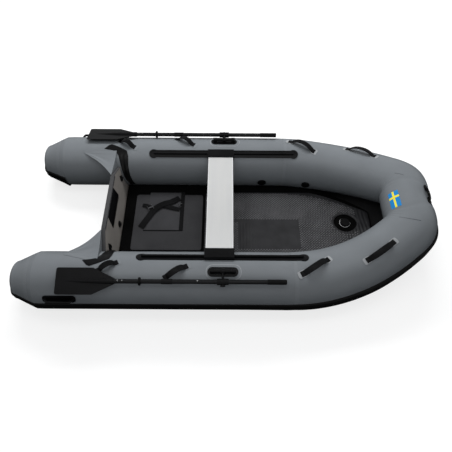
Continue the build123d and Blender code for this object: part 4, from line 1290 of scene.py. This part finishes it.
def bead_point(at):
    """The bead is half round, widest where the bottom's edge meets the tube."""
    run = bow_middle + at.x
    share = 2 * at.y
    girth = math.radians(bead_angle + bead_half_angle * share) * tube_radius
    return on_skin(run, girth, bead_rise * math.sqrt(max(1 - share ** 2, 0)) - bead_sink)


move_points(bead, bead_point)
thicken(bead, 0.0015, -1)
dress(bead, "bottom_fabric", angle=60)

# %% [markdown]
# ## Fittings on the transom
#
# Two lashing eyes are bolted to the front of the board. Each is a pointed plate with a loop that
# stands off it. The plate is a disc of eight corners pulled long, and the loop is half of a ring.
# Thin dark strips cover the edges of the board's two shoulders, and the inner motor pad is a thin
# plate with cut corners, close under the top edge.

# %% Lashing eyes
rake = math.radians(9)
transom_run = 0.709
board_thickness = 0.025
eye_low, eye_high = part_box("transom_eyes")
eye_inner_edge = 0.284
eye_aside = (eye_high.y + eye_inner_edge) / 2
eye_level = (eye_low.z + eye_high.z) / 2
eye_turn = math.radians(12)
eye_long, eye_narrow = 1.45, 0.82
board_normal = Vector((math.cos(rake), 0, math.sin(rake)))
board_up = Vector((-math.sin(rake), 0, math.cos(rake)))
board_foot = Vector((transom_run + stern_x, 0, 0))


def on_board(aside, level, lift=0.0):
    """A point in front of the transom, at a height above the floor."""
    up_board = board_up * level / math.cos(rake)
    return board_foot + Vector((0, aside, 0)) + up_board + board_normal * lift


def cut_below(piece, height):
    """Cut away what lies below a height, and close the cut."""
    edit_whole(piece, (bpy.ops.mesh.bisect, {"plane_co": (0, 0, height), "plane_no": (0, 0, 1),
                                             "clear_inner": True, "use_fill": True}))


def stand_on_board(piece, aside, level, turn=0.0):
    """Stand a flat piece, modelled in X and Y, on the front of the transom."""
    turned = Matrix((Vector((0, 1, 0)), board_up, board_normal)).transposed().to_4x4()
    piece.data.transform(Matrix.Translation(on_board(aside, level)) @ turned
                         @ Matrix.Rotation(turn, 4, "Z"))


for side_name, side in sides.items():
    deselect()
    bpy.ops.mesh.primitive_circle_add(vertices=8, radius=0.026, fill_type="NGON")
    eye = made(f"eye_plate_{side_name}")
    for point in eye.data.vertices:
        point.co.y *= eye_long if abs(point.co.x) < 0.001 else eye_narrow
    thicken(eye, 0.004)
    soften(eye, 0.0012, 3, 50)
    stand_on_board(eye, side * eye_aside, eye_level, eye_turn * side)
    dress(eye, "black_plastic", *(("transom_eyes",) if side > 0 else ()))
    deselect()
    bpy.ops.mesh.primitive_torus_add(major_segments=32, minor_segments=10, major_radius=0.0135,
                                     minor_radius=0.004)
    loop = made(f"eye_loop_{side_name}")
    loop.rotation_euler = (math.pi / 2, 0, 0)
    settle(loop)
    cut_below(loop, 0.001)
    stand_on_board(loop, side * eye_aside, eye_level)
    dress(loop, "black_plastic")

# %% Edge strips on the transom's shoulders
shoulder_top = (0.245, 0.376)
shoulder_end = (0.398, 0.301)
strip_width = board_thickness + 0.004
for side_name, side in sides.items():
    start, end = (on_board(side * aside, level, -board_thickness / 2)
                  for aside, level in (shoulder_top, shoulder_end))
    along = (end - start).normalized()
    above = along.cross(board_normal) * -side
    across = above.cross(along)
    strip = flat_panel(f"transom_edge_{side_name}", (end - start).length, strip_width, 12, 2)
    thicken(strip, 0.003)
    soften(strip, 0.001)
    strip.data.transform(Matrix.Translation((start + end) / 2)
                         @ Matrix((along, across, above)).transposed().to_4x4())
    dress(strip, "black_plastic", look="trim_grey")

# %% Inner motor pad
plate_level = 0.3
plate_thickness = 0.004
plate_corners = [(-0.15, 0.247), (-0.136, 0.247), (0.136, 0.247), (0.15, 0.262), (0.132, 0.366),
                 (-0.132, 0.366), (-0.15, 0.262)]
plate = outline_sheet("motor_plate",
                      [(aside, level - plate_level) for aside, level in plate_corners])
thicken(plate, plate_thickness)
soften(plate, 0.0012)
stand_on_board(plate, 0, plate_level)
dress(plate, "black_plastic", "motor_pad_inner")

# %% [markdown]
# ## Rivets on the oars
#
# The blade is held to its shaft by rivets, and a spring button locks the shaft's two halves. They
# are small domes: a sphere with its lower half cut away and the rest flattened.

# %% Rivets
rivet_radius = 0.0042
rivet_flatness = 0.6
rivet_sink = 0.0012
rivet_places = (0.02, 0.05)
button_x = -0.19
shaft_low, shaft_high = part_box("oar_shaft_port")
shaft_side = (shaft_low.y + shaft_high.y) / 2
for side_name, side in sides.items():
    for index, x in enumerate([shaft_low.x + place for place in rivet_places] + [button_x]):
        deselect()
        bpy.ops.mesh.primitive_uv_sphere_add(segments=16, ring_count=10, radius=rivet_radius)
        rivet = made(f"oar_rivet_{side_name}_{index}")
        cut_below(rivet, 0)
        rivet.scale = (1, 1, rivet_flatness)
        rivet.location = (x, side * shaft_side, shaft_high.z - rivet_sink)
        settle(rivet)
        dress(rivet, "stainless", body=f"oar_{side_name}")

# %% [markdown]
# ## Bow handle
#
# The handle on the bow is a soft moulded grip that lies close to the tube, high on its front. It is
# made flat, as a long pad with a raised grip whose ends run into two round feet, and is then laid
# on the skin like the straps.

# %% Bow handle
bow_grab_girth = 0.128
bow_grab_length = 0.11
grip_taper = 0.25
grip_hump = 0.006
grip = rounded_patch("bow_handle_grip", bow_grab_length, 0.024, 0.011, 0.012, step=0.006)
move_points(grip, lambda at: Vector((
    at.x, at.y * (1 - grip_taper * (2 * at.x / bow_grab_length) ** 2),
    at.z * 0.9 + grip_hump * (1 - abs(2 * at.x / bow_grab_length) ** 3))))
soften(grip, 0.003, 3, 60)
turn_flat(grip, 0, bow_middle, bow_grab_girth)
lay_on_tube(grip)
dress(grip, "soft_rubber", "bow_grab")
for end in (-1, 1):
    foot = rounded_patch(f"bow_handle_foot_{'port' if end < 0 else 'starboard'}", 0.052, 0.046,
                         0.02, 0.004, step=0.006)
    turn_flat(foot, 0, bow_middle + end * bow_grab_length / 2, bow_grab_girth)
    lay_on_tube(foot)
    dress(foot, "soft_rubber")

# %% [markdown]
# ## Ring on the floor valve
#
# The floor valve's black rim is a thin ring painted near white, a painted highlight, the one thing
# in the dark well that catches the light.

# %% Valve ring
deselect()
bpy.ops.mesh.primitive_torus_add(
    major_segments=48, minor_segments=8, major_radius=0.0405, minor_radius=0.0014,
    location=(well_x, well_y, valve_low.z + 0.0025))
valve_ring = made("floor_valve_rim")
settle(valve_ring)
# black plastic rim in a near-white look: a painted highlight
dress(valve_ring, "black_plastic", look="edge_painted_highlight")

# %% [markdown]
# ## Flag patch
#
# A small printed flag, blue with a yellow cross, is glued on the inboard face of the bow tube. It
# is three thin patches laid on the skin: the blue ground and the two bars of the cross.

# %% Flag
flag_run = bow_middle + 0.036
flag_girth = -0.16
flag_length = 0.14
flag_height = 0.086
flag_bar = 0.0165
flag_turn = math.radians(2)
for name, size, shift, thickness, lift, look in (
        ("flag_ground", (flag_length, flag_height), 0, 0.0006, 0.0005, "flag_blue"),
        ("flag_long_bar", (flag_length, flag_bar), 0, 0.0004, 0.0011, "flag_yellow"),
        ("flag_short_bar", (flag_bar, flag_height), -0.02, 0.0004, 0.0012, "flag_yellow")):
    glued_patch(name, size, 0.0015, thickness,
                (flag_run + shift * math.cos(flag_turn), flag_girth + shift * math.sin(flag_turn)),
                flag_turn, lift, 1, look)
